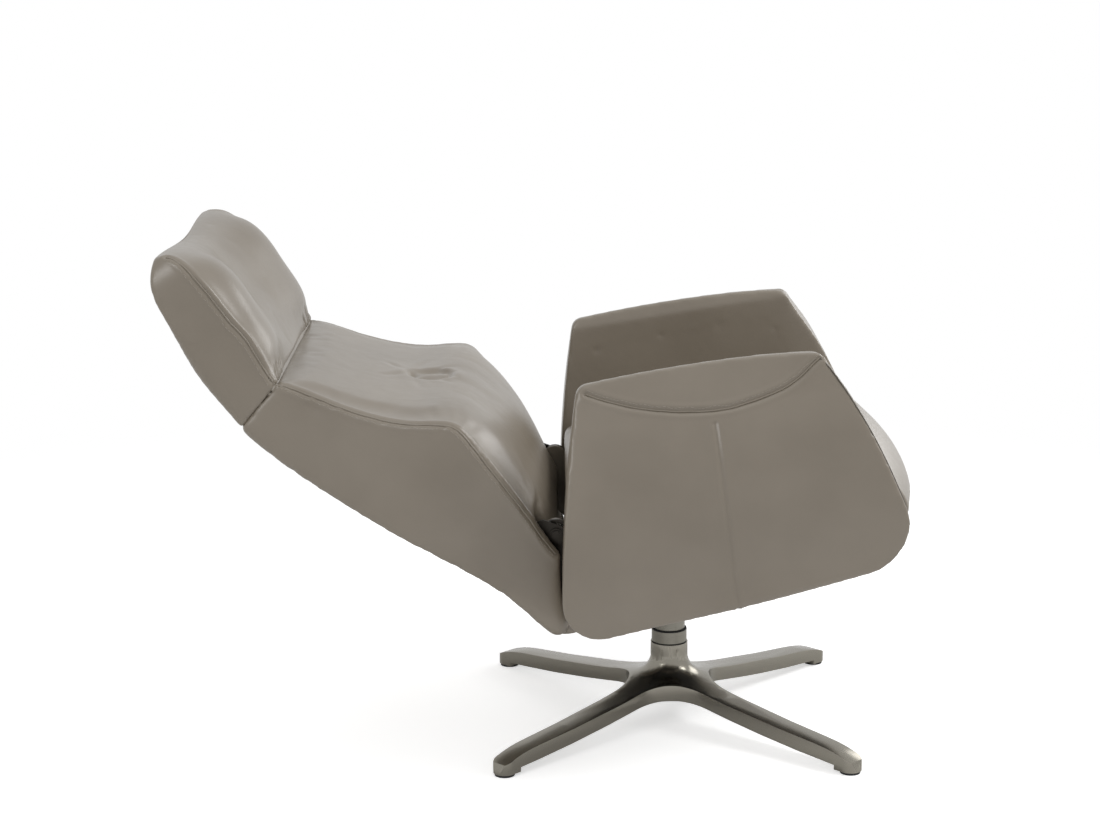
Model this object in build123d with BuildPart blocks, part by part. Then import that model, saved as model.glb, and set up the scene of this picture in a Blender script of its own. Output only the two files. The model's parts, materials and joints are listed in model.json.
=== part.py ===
from build123d import *
import math
import os

os.makedirs("parts", exist_ok=True)

# Swivel recliner, stored fully reclined, in millimetres.
# X runs to the front, Y across the chair, Z up, with the floor at zero.

# Reach of the reclined chair in front of and behind the swivel column
nose_reach = 358.0
head_reach = 748.0
column_x = (head_reach - nose_reach) / 2

# Tilts of the three upholstered units as stored, in degrees
seat_tilt = 9.0
back_tilt = 32.5
head_tilt = 58.0

# Fits
running_gap = 0.05
slip_gap = 0.2
seat_gap = 0.3
soft_gap = 1.0
cut_over = 5.0

# Star base
foot_circle_radius = 360.0
foot_boss_radius = 17.0
leg_root_width = 46.0
leg_tip_width = 33.0
leg_web_radius = 78.0
hub_top = 123.0
hub_neck_radius = 29.0
hub_under = 44.0
hub_bore_radius = 23.0
glide_height = 4.0
glide_radius = 15.0
glide_screw_radius = 2.2
glide_screw_length = 12.0
glide_head_radius = 4.4
glide_head_height = 2.4

# Crest of hub and legs, radius as shares of the foot circle, height as shares of the hub
leg_crest_shares = [
    (0.0806, 0.797),
    (0.092, 0.715),
    (0.117, 0.635),
    (0.181, 0.555),
    (0.278, 0.488),
    (0.494, 0.398),
    (0.772, 0.309),
    (0.972, 0.228),
    (1.033, 0.163),
]
# Underside of the legs in the same shares
leg_under_shares = [(0.181, 0.358), (0.411, 0.250), (0.694, 0.150), (0.953, 0.089)]

# Column
seal_height = 2.0
seal_radius = 27.0
collar_height = 18.0
collar_radius = 27.5
sleeve_radius = 22.8
sleeve_end_gap = 4.0
bush_radius = 20.0
bush_height = 30.0
spindle_radius = 15.0
bearing_height = 4.0
bearing_radius = 20.4
shoulder_radius = 20.0
shoulder_height = 6.0
column_tube_radius = 24.5
column_tube_wall = 2.5
spindle_flange_radius = 45.0
spindle_flange_height = 8.0
spindle_head_height = 10.0
clip_height = 2.0
clip_radius = 18.0
groove_depth = 1.5

# Tilt mechanism under the seat
plate_under = 196.0
plate_length = 176.0
plate_half_width = 72.0
plate_ahead = 20.0
plate_thick = 6.0
cheek_thick = 5.0
cheek_height = 54.0
shelf_height = 46.0
shelf_behind = 62.0
shelf_length = 34.0
tilt_ahead = 70.0
tilt_height = 232.0
tilt_shaft_radius = 8.0
tilt_bush_wall = 2.5
tilt_spring_radius = 4.0
tilt_spring_length = 40.0
tilt_spring_turns = 3.6
lug_gap = 6.0
lug_thick = 6.0
lug_half_width = 16.0
shaft_clip_radius = 11.0
bolt_radius = 4.0
bolt_head_radius = 6.5
bolt_head_height = 5.0
bolt_square = 56.0
stop_radius = 12.0
stop_spacing = 80.0

# Seat, measured from a slanting plane under the cushion where the column axis meets it
seat_plane_height = 324.0
seat_half_width = 246.0
seat_over = 74.5
seat_height = 141.0
seat_rear = 156.0
seat_drop = 8.0
seat_side_drop = 14.0
seat_side_short = 26.0
seat_notch_inner = 226.0
seat_notch_depth = 22.0
rail_size = 25.0
rail_wall = 2.5
rail_top_drop = 12.0
rail_half_span = 231.0
frame_rear = 150.0
frame_length = 447.0
spring_wire_radius = 1.9
seat_spring_pitch = 78.0
seat_spring_half_width = 21.0
seat_spring_waves = 4
seat_spring_rows = 5
band_height = 30.0
band_thick = 36.0

# Places of the cross rails as shares of the frame length from its rear end
cross_rail_shares = [0.197, 0.505]

# Side outline of the seat cushion, as shares of its length and height
seat_rear_shares = [(0, 0), (0.018, 0.86)]
seat_corner_shares = [(0.018, 0.86), (0.028, 0.93), (0.062, 0.957)]
seat_top_shares = [(0.062, 0.957), (0.45, 0.91), (0.86, 1.0)]
seat_nose_shares = [(0.86, 1.0), (0.914, 0.865), (0.985, 0.455), (1.0, 0.19), (0.976, 0)]

# Arms, in the slanting frame of the seat
arm_inner = 250.0
arm_thick = 95.0
arm_over = 78.0
arm_height = 365.0
arm_rear = 182.0
arm_drop = 78.0
arm_rear_foot_radius = 52.0
arm_front_foot_radius = 70.0
arm_front_top_radius = 22.0
arm_rear_top_radius = 18.0
arm_ridge_radius = 5.0
arm_board_corner_radius = 20.0
arm_pad_thick = 11.7
arm_board_thick = 18.0
spacer_radius = 6.5
arm_bolt_radius = 3.0
arm_bolt_head_radius = 5.5
arm_bolt_rise = 17.0
arm_bolt_bite = 14.0

# Side outline of an arm, as shares of its length and height from the rear foot
arm_rear_foot_share = (0, 0)
arm_rear_mid_share = (0.061, 0.501)
arm_rear_top_share = (0.15, 0.986)
arm_top_mid_share = (0.423, 1.0)
arm_front_top_share = (0.827, 0.973)
arm_front_mid_share = (0.939, 0.518)
arm_front_foot_share = (1, 0.14)
# Upright section of an arm, outward as shares of its thickness, upward of its height
arm_inner_shares = [(0.905, -0.033), (0, -0.033), (0, 0.948), (0.075, 1.005), (0.19, 1.005)]
arm_facet_share = (0.505, 0.838)
arm_outer_shares = [(0.926, 0.542), (1, 0.351), (1, 0.159), (0.905, -0.033)]
# Board inside an arm, in the shares of the side outline
arm_board_shares = [
    (0.13, 0.05),
    (0.87, 0.15),
    (0.86, 0.45),
    (0.76, 0.86),
    (0.21, 0.86),
    (0.13, 0.45),
]
# Places of the arm bolts along the frame, as shares of its length from the rear end
arm_bolt_shares = [0.3, 0.58, 0.85]

# Recline hinges, placed in the frame of the seat
hinge_behind = 168.0
hinge_above = 67.0
hinge_pin_radius = 6.0
hinge_plate_radius = 20.0
hinge_plate_thick = 6.0
washer_thick = 1.2
washer_radius = 14.0
back_plate_thick = 5.0
back_plate_radius = 14.0
pin_head_height = 2.6
pin_head_radius = 9.0
pin_end = 2.0

# Seat hinge plate: outline as shares of the hinge height over the frame, from the hinge
hinge_plate_shares = [
    (-0.3, 0),
    (-0.3, -1.1),
    (0, -1.55),
    (1.1, -1.55),
    (1.1, -1.18),
    (0.3, -1.18),
    (0.3, 0),
]

# Back, in its own slanting frame from the recline hinge
back_length = 456.0
back_depth = 180.0
back_half_width = 303.0
back_side_edge = 8.0
back_middle_edge = 36.0
back_crown = 25.0
back_trim_ahead = 6.0
back_wall = 12.0
back_roof = 20.0
back_cavity_half_width = 249.5
back_lip_half_width = 248.0
back_foot_half_width = 222.0
back_foot_rise = 44.0
tuft_radius = 60.0
tuft_up = 283.0
tuft_depth = 10.0

# Front side line of the back: up as shares of its length, out of its depth, then crown
back_front_shares = [
    (-0.035, -0.094, 0),
    (0.033, -0.033, 0.4),
    (0.156, 0.094, 0.96),
    (0.305, 0.244, 0.8),
    (0.401, 0.344, 0.52),
    (0.461, 0.389, 0.32),
    (0.509, 0.344, 0.28),
    (0.548, 0.278, 0.24),
    (0.614, 0.178, 0.24),
    (0.73, 0.061, 0.24),
    (0.825, 0, 0.12),
    (0.95, -0.072, 0.08),
    (0.998, -0.117, 0),
]
# Rear line of the back in the same shares
back_rear_shares = [
    (1.015, -0.567),
    (0.785, -0.622),
    (0.428, -0.611),
    (0.101, -0.6),
    (-0.096, -0.633),
    (-0.189, -0.622),
    (-0.239, -0.528),
]
# Width of the back, as shares of its half width and its length
back_width_shares = [
    (0.851, 1.05),
    (0.865, 0.92),
    (0.908, 0.768),
    (0.98, 0.548),
    (1.0, 0.445),
    (0.964, 0.219),
    (0.908, 0),
    (0.871, -0.26),
]
# Heights of the back frame rails and support wires, as shares of the back length
back_rail_shares = [0.13, 0.46]
back_wire_shares = [0.2, 0.27, 0.34, 0.4, 0.62, 0.69, 0.76, 0.83]

# Back frame
back_side_inner = 213.0
back_side_thick = 25.0
back_side_foot = 26.0
back_side_depth = 22.0
back_rail_height = 24.0
back_rail_sink = 7.0
head_rail_below = 52.0
head_rail_height = 30.0
head_rail_depth = 37.0
back_bolt_head_height = 3.5
back_wire_gap = 1.6
# Bolts of the back hinge plates, up from the pivot and out, as shares of back length
back_bolt_shares = [(0.154, -0.075), (0.252, -0.037)]
# Back hinge plate outline in the same shares
back_plate_shares = [
    (0, 0.0307),
    (0.0583, 0.0169),
    (0.1013, -0.0353),
    (0.2855, 0),
    (0.2855, -0.0491),
    (0.089, -0.132),
    (0, -0.0307),
]

# Headrest, in its own slanting frame from its hinge
head_hinge_over = 6.0
head_hinge_back = 93.0
head_length = 267.0
head_depth = 70.0
head_half_width = 263.0
head_wing_half_width = 212.0
head_wing_rise = 22.0
head_middle_dip = 5.0
head_pad = 10.0
head_board_thick = 6.4
head_board_half_width = 215.0
head_board_foot = 30.0
head_board_length = 200.0
head_leaf_thick = 6.0
head_leaf_out = 150.0
head_leaf_half_width = 22.0
head_leaf_length = 82.0
head_lower_leaf_length = 70.0
head_knuckle_radius = 6.6
head_knuckle_half_width = 7.0
head_pin_radius = 3.5
head_pin_end = 2.0

# Front side line of the headrest: up as shares of its length, out of its depth, then wing
head_front_shares = [
    (0.098, 0.976, 0),
    (0.15, 0.93, 0.35),
    (0.24, 0.943, 0.8),
    (0.393, 0.97, 0.85),
    (0.5, 0.9, 1),
    (0.6, 0.87, 1.1),
    (0.71, 0.84, 1.1),
    (0.82, 0.785, 0.85),
    (0.9, 0.73, 0.3),
    (0.95, 0.64, 0.1),
    (0.985, 0.46, 0),
    (1.0, 0.286, 0),
]
# Rear line of the headrest in the same shares
head_rear_shares = [
    (1.0, 0.286),
    (0.963, 0.129),
    (0.89, -0.043),
    (0.69, -0.129),
    (0.36, -0.143),
    (0.009, -0.114),
]
# Width of the headrest, as shares of its half width and its length
head_width_shares = [
    (0.85, 1.02),
    (0.93, 0.985),
    (0.98, 0.92),
    (1.0, 0.8),
    (0.997, 0.5),
    (0.99, 0.25),
    (0.982, -0.1),
]

# The slanting plane under the seat: x forward, y across, z up from the cushion
seat_rise = math.radians(seat_tilt)
seat_base = Plane(
    origin=(column_x, 0, seat_plane_height),
    x_dir=(math.cos(seat_rise), 0, math.sin(seat_rise)),
    z_dir=(-math.sin(seat_rise), 0, math.cos(seat_rise)),
)


def seat_side(y):
    """Upright plane along the seat, x forward, y up, facing the right-hand side."""
    spot = seat_base.from_local_coords((0, y, 0))
    return Plane(origin=spot, x_dir=seat_base.x_dir, z_dir=(0, -1, 0))


def seat_level(up):
    """Plane parallel to the seat at a height over it."""
    spot = seat_base.from_local_coords((0, 0, up))
    return Plane(origin=spot, x_dir=seat_base.x_dir, z_dir=seat_base.z_dir)


def unit_frame(origin, tilt):
    """Frame of a leaning unit: x across, y to its front, z up along it."""
    lean = math.radians(tilt)
    rise = (-math.cos(lean), 0, math.sin(lean))
    return Plane(origin=origin, x_dir=(0, -1, 0), z_dir=rise)


def unit_side(frame, y):
    """Upright plane along a leaning unit: x up along it, y to its front."""
    spot = (frame.origin.X, y, frame.origin.Z)
    return Plane(origin=spot, x_dir=frame.z_dir, z_dir=(0, 1, 0))


def unit_front(frame, out):
    """Plane along a leaning unit, facing its front: x across, y up along it."""
    spot = frame.from_local_coords((0, out, 0))
    return Plane(origin=spot, x_dir=(0, 1, 0), z_dir=frame.y_dir)


seat_length = frame_length + seat_over
arm_length = frame_length + arm_over
recline_pivot = seat_base.from_local_coords((-hinge_behind, 0, hinge_above))
back_frame_plane = unit_frame(recline_pivot, back_tilt)
head_hinge_up = back_length + head_hinge_over
head_pivot = back_frame_plane.from_local_coords((0, -head_hinge_back, head_hinge_up))
head_frame_plane = unit_frame(head_pivot, head_tilt)


def scaled(shares, length, height):
    """Points from shares of a length and a height."""
    return [(length * share[0], height * share[1]) for share in shares]


def save(builder, name):
    """Label a finished piece and write it as its own file."""
    builder.part.label = name
    export_step(builder.part, f"parts/{name}.step")


def save_pair(builder, name):
    """Write a right-hand piece and its mirror image on the left."""
    save(builder, f"right_{name}")
    with BuildPart() as other:
        mirror(builder.part, about=Plane.XZ)
    save(other, f"left_{name}")


# Heights up the column
collar_foot = hub_top + seal_height
collar_top = collar_foot + collar_height
sleeve_foot = hub_under + sleeve_end_gap
tube_foot = collar_top + seal_height + seat_gap
bearing_top = collar_top + bearing_height
flange_foot = plate_under - spindle_flange_height
head_foot = flange_foot - spindle_head_height
clip_foot = sleeve_foot - seat_gap - clip_height
tube_bore_radius = column_tube_radius - column_tube_wall

# Section of the star base
leg_crest = scaled(leg_crest_shares, foot_circle_radius, hub_top)
leg_under = scaled(leg_under_shares, foot_circle_radius, hub_top)
toe_end = (foot_circle_radius + foot_boss_radius, glide_height)
boss_rear = (leg_under[-1][0], glide_height)


def at_feet():
    """Places of the four foot bosses round the column axis."""
    return PolarLocations(foot_circle_radius, 4, start_angle=45)


def ring(foot, height, outer, inner):
    """Upright ring round the column axis, its foot at a height."""
    with Locations((column_x, 0, foot)):
        base_face = (Align.CENTER, Align.CENTER, Align.MIN)
        Cylinder(outer, height, align=base_face)
        Cylinder(inner, height, align=base_face, mode=Mode.SUBTRACT)


# Star base casting: plan of the four webbed legs, cut to a turned section
with BuildPart() as base_casting:
    with BuildSketch() as plan:
        with PolarLocations(0, 4, start_angle=45):
            Polygon(
                (0, -leg_root_width / 2),
                (foot_circle_radius, -leg_tip_width / 2),
                (foot_circle_radius, leg_tip_width / 2),
                (0, leg_root_width / 2),
                align=None,
            )
        with at_feet():
            Circle(foot_boss_radius)
        reach = 2 * leg_root_width
        webs = [spot for spot in plan.vertices() if Vector(spot).length < reach]
        fillet(webs, leg_web_radius)
    extrude(amount=hub_top)
    with BuildSketch(Plane.XZ):
        with BuildLine():
            Spline(*leg_crest)
            Line(leg_crest[-1], toe_end)
            Line(toe_end, boss_rear)
            Line(boss_rear, leg_under[-1])
            Spline(*reversed(leg_under))
            Line(leg_under[0], (0, hub_under))
            Line((0, hub_under), (0, hub_top))
            Line((0, hub_top), (hub_neck_radius, hub_top))
            Line((hub_neck_radius, hub_top), leg_crest[0])
        make_face()
    revolve(axis=Axis.Z, mode=Mode.INTERSECT)
    with BuildSketch():
        Circle(hub_bore_radius)
    extrude(amount=hub_top, mode=Mode.SUBTRACT)
    with BuildSketch(Plane.XY.offset(glide_height)):
        with at_feet():
            Circle(glide_screw_radius)
    extrude(amount=glide_screw_length, mode=Mode.SUBTRACT)
base_casting.part = base_casting.part.moved(Location((column_x, 0, 0)))
save(base_casting, "base_casting")

# Glides under the feet, each with a countersunk hole for its screw
glide_face = Plane(origin=(column_x, 0, 0))
with BuildPart() as glides:
    with BuildSketch(glide_face):
        with at_feet():
            Circle(glide_radius)
            Circle(glide_screw_radius + slip_gap, mode=Mode.SUBTRACT)
    extrude(amount=glide_height)
    with BuildSketch(glide_face):
        with at_feet():
            Circle(glide_head_radius + slip_gap)
    extrude(amount=glide_head_height + seat_gap, mode=Mode.SUBTRACT)
save(glides, "glides")

# Glide screws
with BuildPart() as glide_screws:
    with BuildSketch(glide_face.offset(seat_gap)):
        with at_feet():
            Circle(glide_head_radius)
    extrude(amount=glide_head_height)
    with BuildSketch(glide_face.offset(seat_gap)):
        with at_feet():
            Circle(glide_screw_radius - running_gap)
    extrude(amount=glide_height + glide_screw_length - 2 * seat_gap)
save(glide_screws, "glide_screws")

# Dark ring between the hub and the collar
with BuildPart() as hub_seal:
    ring(hub_top, seal_height, seal_radius, sleeve_radius + slip_gap)
save(hub_seal, "hub_seal")

# Column sleeve: a flanged collar over the hub, reaching down its bore
with BuildPart() as column_sleeve:
    with Locations((column_x, 0, 0)):
        foot_face = (Align.CENTER, Align.CENTER, Align.MIN)
        with Locations((0, 0, sleeve_foot)):
            Cylinder(sleeve_radius, collar_foot - sleeve_foot, align=foot_face)
        with Locations((0, 0, collar_foot)):
            Cylinder(collar_radius, collar_height, align=foot_face)
        with Locations((0, 0, sleeve_foot)):
            Cylinder(bush_radius, collar_top, align=foot_face, mode=Mode.SUBTRACT)
save(column_sleeve, "column_sleeve")

# Dark ring on top of the collar
with BuildPart() as collar_seal:
    ring(collar_top, seal_height, seal_radius, bearing_radius + slip_gap)
save(collar_seal, "collar_seal")

# Plain bearings for the spindle
bush_bore = spindle_radius + running_gap
with BuildPart() as upper_bush:
    ring(collar_top - bush_height, bush_height, bush_radius - running_gap, bush_bore)
save(upper_bush, "upper_bush")

with BuildPart() as lower_bush:
    ring(sleeve_foot, bush_height, bush_radius - running_gap, bush_bore)
save(lower_bush, "lower_bush")

with BuildPart() as thrust_bearing:
    ring(collar_top, bearing_height, bearing_radius, bush_bore + slip_gap)
save(thrust_bearing, "thrust_bearing")

# Spindle: one turned piece with shoulder, tube head and bolting flange
mechanism_bolts_at = GridLocations(bolt_square, bolt_square, 2, 2).locations
groove_radius = spindle_radius - groove_depth
shoulder_foot = bearing_top + seat_gap
spindle_steps = [
    (hub_under, clip_foot - hub_under, spindle_radius),
    (clip_foot, clip_height + seat_gap, groove_radius),
    (sleeve_foot, shoulder_foot - sleeve_foot, spindle_radius),
    (shoulder_foot, shoulder_height, shoulder_radius),
    (shoulder_foot + shoulder_height, head_foot - shoulder_foot - shoulder_height, spindle_radius),
    (head_foot, spindle_head_height, tube_bore_radius - running_gap),
    (flange_foot, spindle_flange_height, spindle_flange_radius),
]
with BuildPart() as spindle:
    for foot, height, radius in spindle_steps:
        with Locations((column_x, 0, foot)):
            Cylinder(radius, height, align=(Align.CENTER, Align.CENTER, Align.MIN))
    with BuildSketch(Plane(origin=(column_x, 0, flange_foot))):
        with Locations(*mechanism_bolts_at):
            Circle(bolt_radius)
    extrude(amount=spindle_flange_height, mode=Mode.SUBTRACT)
save(spindle, "spindle")

# Retaining clip in the groove at the foot of the spindle
with BuildPart() as spindle_clip:
    ring(clip_foot, clip_height, clip_radius, groove_radius + running_gap)
save(spindle_clip, "spindle_clip")

# Bright tube round the spindle
with BuildPart() as column_cover:
    ring(tube_foot, flange_foot - tube_foot, column_tube_radius, tube_bore_radius)
save(column_cover, "column_cover")

# Mechanism housing: plate, two cheeks with the tilt bearings, and a rear shelf
plate_face = Plane(origin=(column_x + plate_ahead, 0, plate_under))
plate_top = plate_under + plate_thick
cheek_inner = plate_half_width - cheek_thick
tilt_spot = (column_x + tilt_ahead, 0, tilt_height)
tilt_across = Plane(origin=tilt_spot, x_dir=(1, 0, 0), z_dir=(0, -1, 0))
bush_hole_radius = tilt_shaft_radius + tilt_bush_wall
with BuildPart() as mechanism_housing:
    with BuildSketch(plate_face):
        Rectangle(plate_length, 2 * plate_half_width)
    extrude(amount=cheek_height)
    with BuildSketch(plate_face.offset(plate_thick)):
        Rectangle(plate_length, 2 * cheek_inner)
    extrude(amount=cheek_height, mode=Mode.SUBTRACT)
    with Locations((column_x - shelf_behind, 0, plate_top)):
        Box(
            shelf_length,
            2 * cheek_inner,
            shelf_height,
            align=(Align.CENTER, Align.CENTER, Align.MIN),
        )
    with Locations((column_x - shelf_behind, 0, plate_top)):
        Box(
            shelf_length - 2 * cheek_thick,
            2 * cheek_inner,
            shelf_height - cheek_thick,
            align=(Align.CENTER, Align.CENTER, Align.MIN),
            mode=Mode.SUBTRACT,
        )
    with BuildSketch(Plane(origin=(column_x, 0, plate_under))):
        with Locations(*mechanism_bolts_at):
            Circle(bolt_radius + slip_gap)
    extrude(amount=plate_thick, mode=Mode.SUBTRACT)
    with BuildSketch(tilt_across.offset(-plate_half_width)):
        Circle(bush_hole_radius)
    extrude(amount=2 * plate_half_width, mode=Mode.SUBTRACT)
save(mechanism_housing, "mechanism_housing")

# Bushes of the tilt shaft in the two cheeks
with BuildPart() as tilt_bushes:
    with BuildSketch(tilt_across.offset(cheek_inner)):
        Circle(bush_hole_radius - running_gap)
        Circle(tilt_shaft_radius + running_gap, mode=Mode.SUBTRACT)
    extrude(amount=cheek_thick)
    mirror(about=Plane.XZ)
save(tilt_bushes, "tilt_bushes")

# Return springs wound round the tilt shaft, inside the cheeks
coil_radius = tilt_shaft_radius + tilt_spring_radius + seat_gap
coil_pitch = tilt_spring_length / tilt_spring_turns
coil_end = cheek_inner - tilt_spring_radius - seat_gap
coil_spot = (column_x + tilt_ahead, tilt_spring_length - coil_end, tilt_height)
with BuildPart() as tilt_springs:
    with BuildLine():
        coil = Helix(
            pitch=coil_pitch,
            height=tilt_spring_length,
            radius=coil_radius,
            center=coil_spot,
            direction=(0, -1, 0),
        )
    with BuildSketch(Plane(origin=coil @ 0, z_dir=coil % 0)):
        Circle(tilt_spring_radius)
    sweep(path=coil, is_frenet=True)
    mirror(about=Plane.XZ)
save(tilt_springs, "tilt_springs")

# Rubber stops on the rear shelf, cut to the slope of the seat frame at rest
rail_foot = -rail_top_drop - rail_size
stop_foot = plate_top + shelf_height
stop_plane = Plane(origin=(column_x - shelf_behind, 0, stop_foot))
with BuildPart() as tilt_stops:
    with BuildSketch(stop_plane):
        with GridLocations(stop_spacing, stop_spacing, 1, 2):
            Circle(stop_radius)
    extrude(amount=shelf_height)
    split(bisect_by=seat_level(rail_foot - seat_gap), keep=Keep.BOTTOM)
save(tilt_stops, "tilt_stops")

# Bolts from the housing plate into the spindle flange
with BuildPart() as mechanism_bolts:
    with BuildSketch(Plane(origin=(column_x, 0, flange_foot))):
        with Locations(*mechanism_bolts_at):
            Circle(bolt_radius - running_gap)
    extrude(amount=spindle_flange_height + plate_thick)
    with BuildSketch(Plane(origin=(column_x, 0, plate_top))):
        with Locations(*mechanism_bolts_at):
            Circle(bolt_head_radius)
    extrude(amount=bolt_head_height)
save(mechanism_bolts, "mechanism_bolts")

# Tilt shaft across the housing, grooved for its clips
lug_inner = plate_half_width + lug_gap
lug_outer = lug_inner + lug_thick
shaft_half_length = lug_outer + 2 * clip_height
shaft_groove_radius = tilt_shaft_radius - groove_depth
with BuildPart() as tilt_shaft:
    with BuildSketch(tilt_across.offset(-shaft_half_length)):
        Circle(tilt_shaft_radius)
    extrude(amount=2 * shaft_half_length)
    with BuildSketch(tilt_across.offset(lug_outer + seat_gap)):
        Circle(tilt_shaft_radius)
        Circle(shaft_groove_radius, mode=Mode.SUBTRACT)
    groove = extrude(amount=clip_height + running_gap, mode=Mode.SUBTRACT)
    mirror(groove, about=Plane.XZ, mode=Mode.SUBTRACT)
save(tilt_shaft, "tilt_shaft")

with BuildPart() as shaft_clips:
    with BuildSketch(tilt_across.offset(lug_outer + seat_gap)):
        Circle(shaft_clip_radius)
        Circle(shaft_groove_radius + running_gap, mode=Mode.SUBTRACT)
    extrude(amount=clip_height)
    mirror(about=Plane.XZ)
save(shaft_clips, "shaft_clips")

# Seat frame of square tube: two side rails and four cross rails
rail_middle = seat_level(-rail_top_drop - rail_size / 2)
frame_middle = frame_length / 2 - frame_rear
rail_centre_out = rail_half_span - rail_size / 2
rail_bore = rail_size - 2 * rail_wall
cross_places = [share * frame_length - frame_rear for share in cross_rail_shares]
cross_places += [rail_size / 2 - frame_rear, frame_length - rail_size / 2 - frame_rear]
bolt_places = [share * frame_length - frame_rear for share in arm_bolt_shares]
bolt_spots = [(place, rail_foot + arm_bolt_rise) for place in bolt_places]
with BuildPart() as seat_frame:
    with Locations(rail_middle):
        with Locations((frame_middle, -rail_centre_out), (frame_middle, rail_centre_out)):
            Box(frame_length, rail_size, rail_size)
        with Locations(*[(place, 0) for place in cross_places]):
            Box(rail_size, 2 * rail_centre_out, rail_size)
        with Locations((frame_middle, -rail_centre_out), (frame_middle, rail_centre_out)):
            Box(frame_length, rail_bore, rail_bore, mode=Mode.SUBTRACT)
        with Locations(*[(place, 0) for place in cross_places]):
            Box(rail_bore, 2 * rail_centre_out, rail_bore, mode=Mode.SUBTRACT)
    with BuildSketch(seat_side(rail_half_span)):
        with Locations(*bolt_spots):
            Circle(arm_bolt_radius + slip_gap)
    extrude(amount=2 * rail_half_span, mode=Mode.SUBTRACT)
save(seat_frame, "seat_frame")

# Lugs that hang the seat frame on the tilt shaft
tilt_local = seat_base.to_local_coords(Vector(tilt_spot))
with BuildPart() as tilt_lugs:
    with BuildSketch(seat_side(-lug_inner)):
        with Locations((tilt_local.X, tilt_local.Z)):
            Circle(lug_half_width)
        with Locations((tilt_local.X, rail_foot)):
            lug_rise = rail_foot - tilt_local.Z
            Rectangle(2 * lug_half_width, lug_rise, align=(Align.CENTER, Align.MAX))
        with Locations((tilt_local.X, tilt_local.Z)):
            Circle(tilt_shaft_radius + running_gap, mode=Mode.SUBTRACT)
    extrude(amount=lug_thick)
    mirror(about=Plane.XZ)
save(tilt_lugs, "tilt_lugs")


def wave_points(half_span, half_width, waves):
    """Points of a wire that runs across in waves, from side to side."""
    steps = 2 * waves
    pitch = 2 * half_span / steps
    points = [(-half_span, 0)]
    for step in range(steps):
        side = half_width if step % 2 else -half_width
        points.append(((step + 0.5) * pitch - half_span, side))
    points.append((half_span, 0))
    return points


# Wave springs across the seat frame
seat_wave = wave_points(rail_centre_out, seat_spring_half_width, seat_spring_waves)
wire_level = spring_wire_radius + running_gap - rail_top_drop
spring_turned = Plane(
    origin=seat_base.from_local_coords((frame_middle, 0, wire_level)),
    x_dir=(0, -1, 0),
    z_dir=seat_base.z_dir,
)
with BuildPart() as seat_springs:
    with BuildLine(spring_turned):
        wire = Spline(*seat_wave)
    with BuildSketch(Plane(origin=wire @ 0, z_dir=wire % 0)):
        Circle(spring_wire_radius)
    first = sweep(path=wire, mode=Mode.PRIVATE)
    for row in range(seat_spring_rows):
        step = (row - (seat_spring_rows - 1) / 2) * seat_spring_pitch
        add(first.moved(Location(seat_base.x_dir * step)))
save(seat_springs, "seat_springs")


def seat_profile(y, drop, short):
    """Side outline of the seat cushion at a place across it."""
    length = seat_length - short
    height = seat_height - drop

    def placed(shares):
        return [(x - seat_rear, up - seat_drop) for x, up in scaled(shares, length, height)]

    rear = placed(seat_rear_shares)
    corner = placed(seat_corner_shares)
    top = placed(seat_top_shares)
    nose = placed(seat_nose_shares)
    with BuildSketch(seat_side(y)) as outline:
        with BuildLine():
            Line(*rear)
            ThreePointArc(*corner)
            ThreePointArc(*top)
            Spline(*nose, tangents=((1, 0), (-1, -2)))
            Line(nose[-1], rear[0])
        make_face()
    return outline.sketch


# Seat cushion: crowned across, its nose bowed forward, notched for the hinges
seat_sections = [
    (-seat_half_width, seat_side_drop, seat_side_short),
    (0, 0, 0),
    (seat_half_width, seat_side_drop, seat_side_short),
]
with BuildPart() as seat_cushion:
    loft([seat_profile(y, drop, short) for y, drop, short in seat_sections])
    with Locations(seat_base):
        notch_middle = (seat_half_width + seat_notch_inner) / 2 + cut_over / 2
        notch_width = seat_half_width - seat_notch_inner + cut_over
        notch_depth = seat_notch_depth + cut_over
        notch_place = -seat_rear - cut_over + notch_depth / 2
        with Locations((notch_place, notch_middle), (notch_place, -notch_middle)):
            Box(notch_depth, notch_width, 3 * seat_height, mode=Mode.SUBTRACT)
save(seat_cushion, "seat_cushion")

# Padded band across the front of the frame, under the nose
band_face = seat_base.from_local_coords((frame_length - frame_rear, 0, -seat_drop - seat_gap))
with BuildPart() as seat_front_band:
    with BuildSketch(Plane(origin=band_face, x_dir=seat_base.x_dir, z_dir=seat_base.z_dir)):
        Rectangle(band_thick, 2 * seat_half_width, align=(Align.MIN, Align.CENTER))
    extrude(amount=-band_height)
    fillet(seat_front_band.edges().filter_by(Axis.Y).sort_by(Axis.X)[-2:], band_thick / 4)
save(seat_front_band, "seat_front_band")


def arm_spot(share):
    """Place on the side view of an arm from its shares."""
    along, up = share
    return (along * arm_length - arm_rear, up * arm_height - arm_drop)


def arm_outline(y):
    """Side outline of an arm at a place across, with rounded corners."""
    rear_foot = arm_spot(arm_rear_foot_share)
    rear_top = arm_spot(arm_rear_top_share)
    front_top = arm_spot(arm_front_top_share)
    front_foot = arm_spot(arm_front_foot_share)
    corners = [
        (rear_foot, arm_rear_foot_radius),
        (rear_top, arm_rear_top_radius),
        (front_top, arm_front_top_radius),
        (front_foot, arm_front_foot_radius),
    ]
    with BuildSketch(seat_side(y)) as outline:
        with BuildLine():
            ThreePointArc(rear_foot, arm_spot(arm_rear_mid_share), rear_top)
            ThreePointArc(rear_top, arm_spot(arm_top_mid_share), front_top)
            ThreePointArc(front_top, arm_spot(arm_front_mid_share), front_foot)
            Line(front_foot, rear_foot)
        make_face()
        for corner, radius in corners:
            nearest = outline.vertices().sort_by_distance(corner)[0]
            fillet(nearest, radius)
    return outline.sketch


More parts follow.
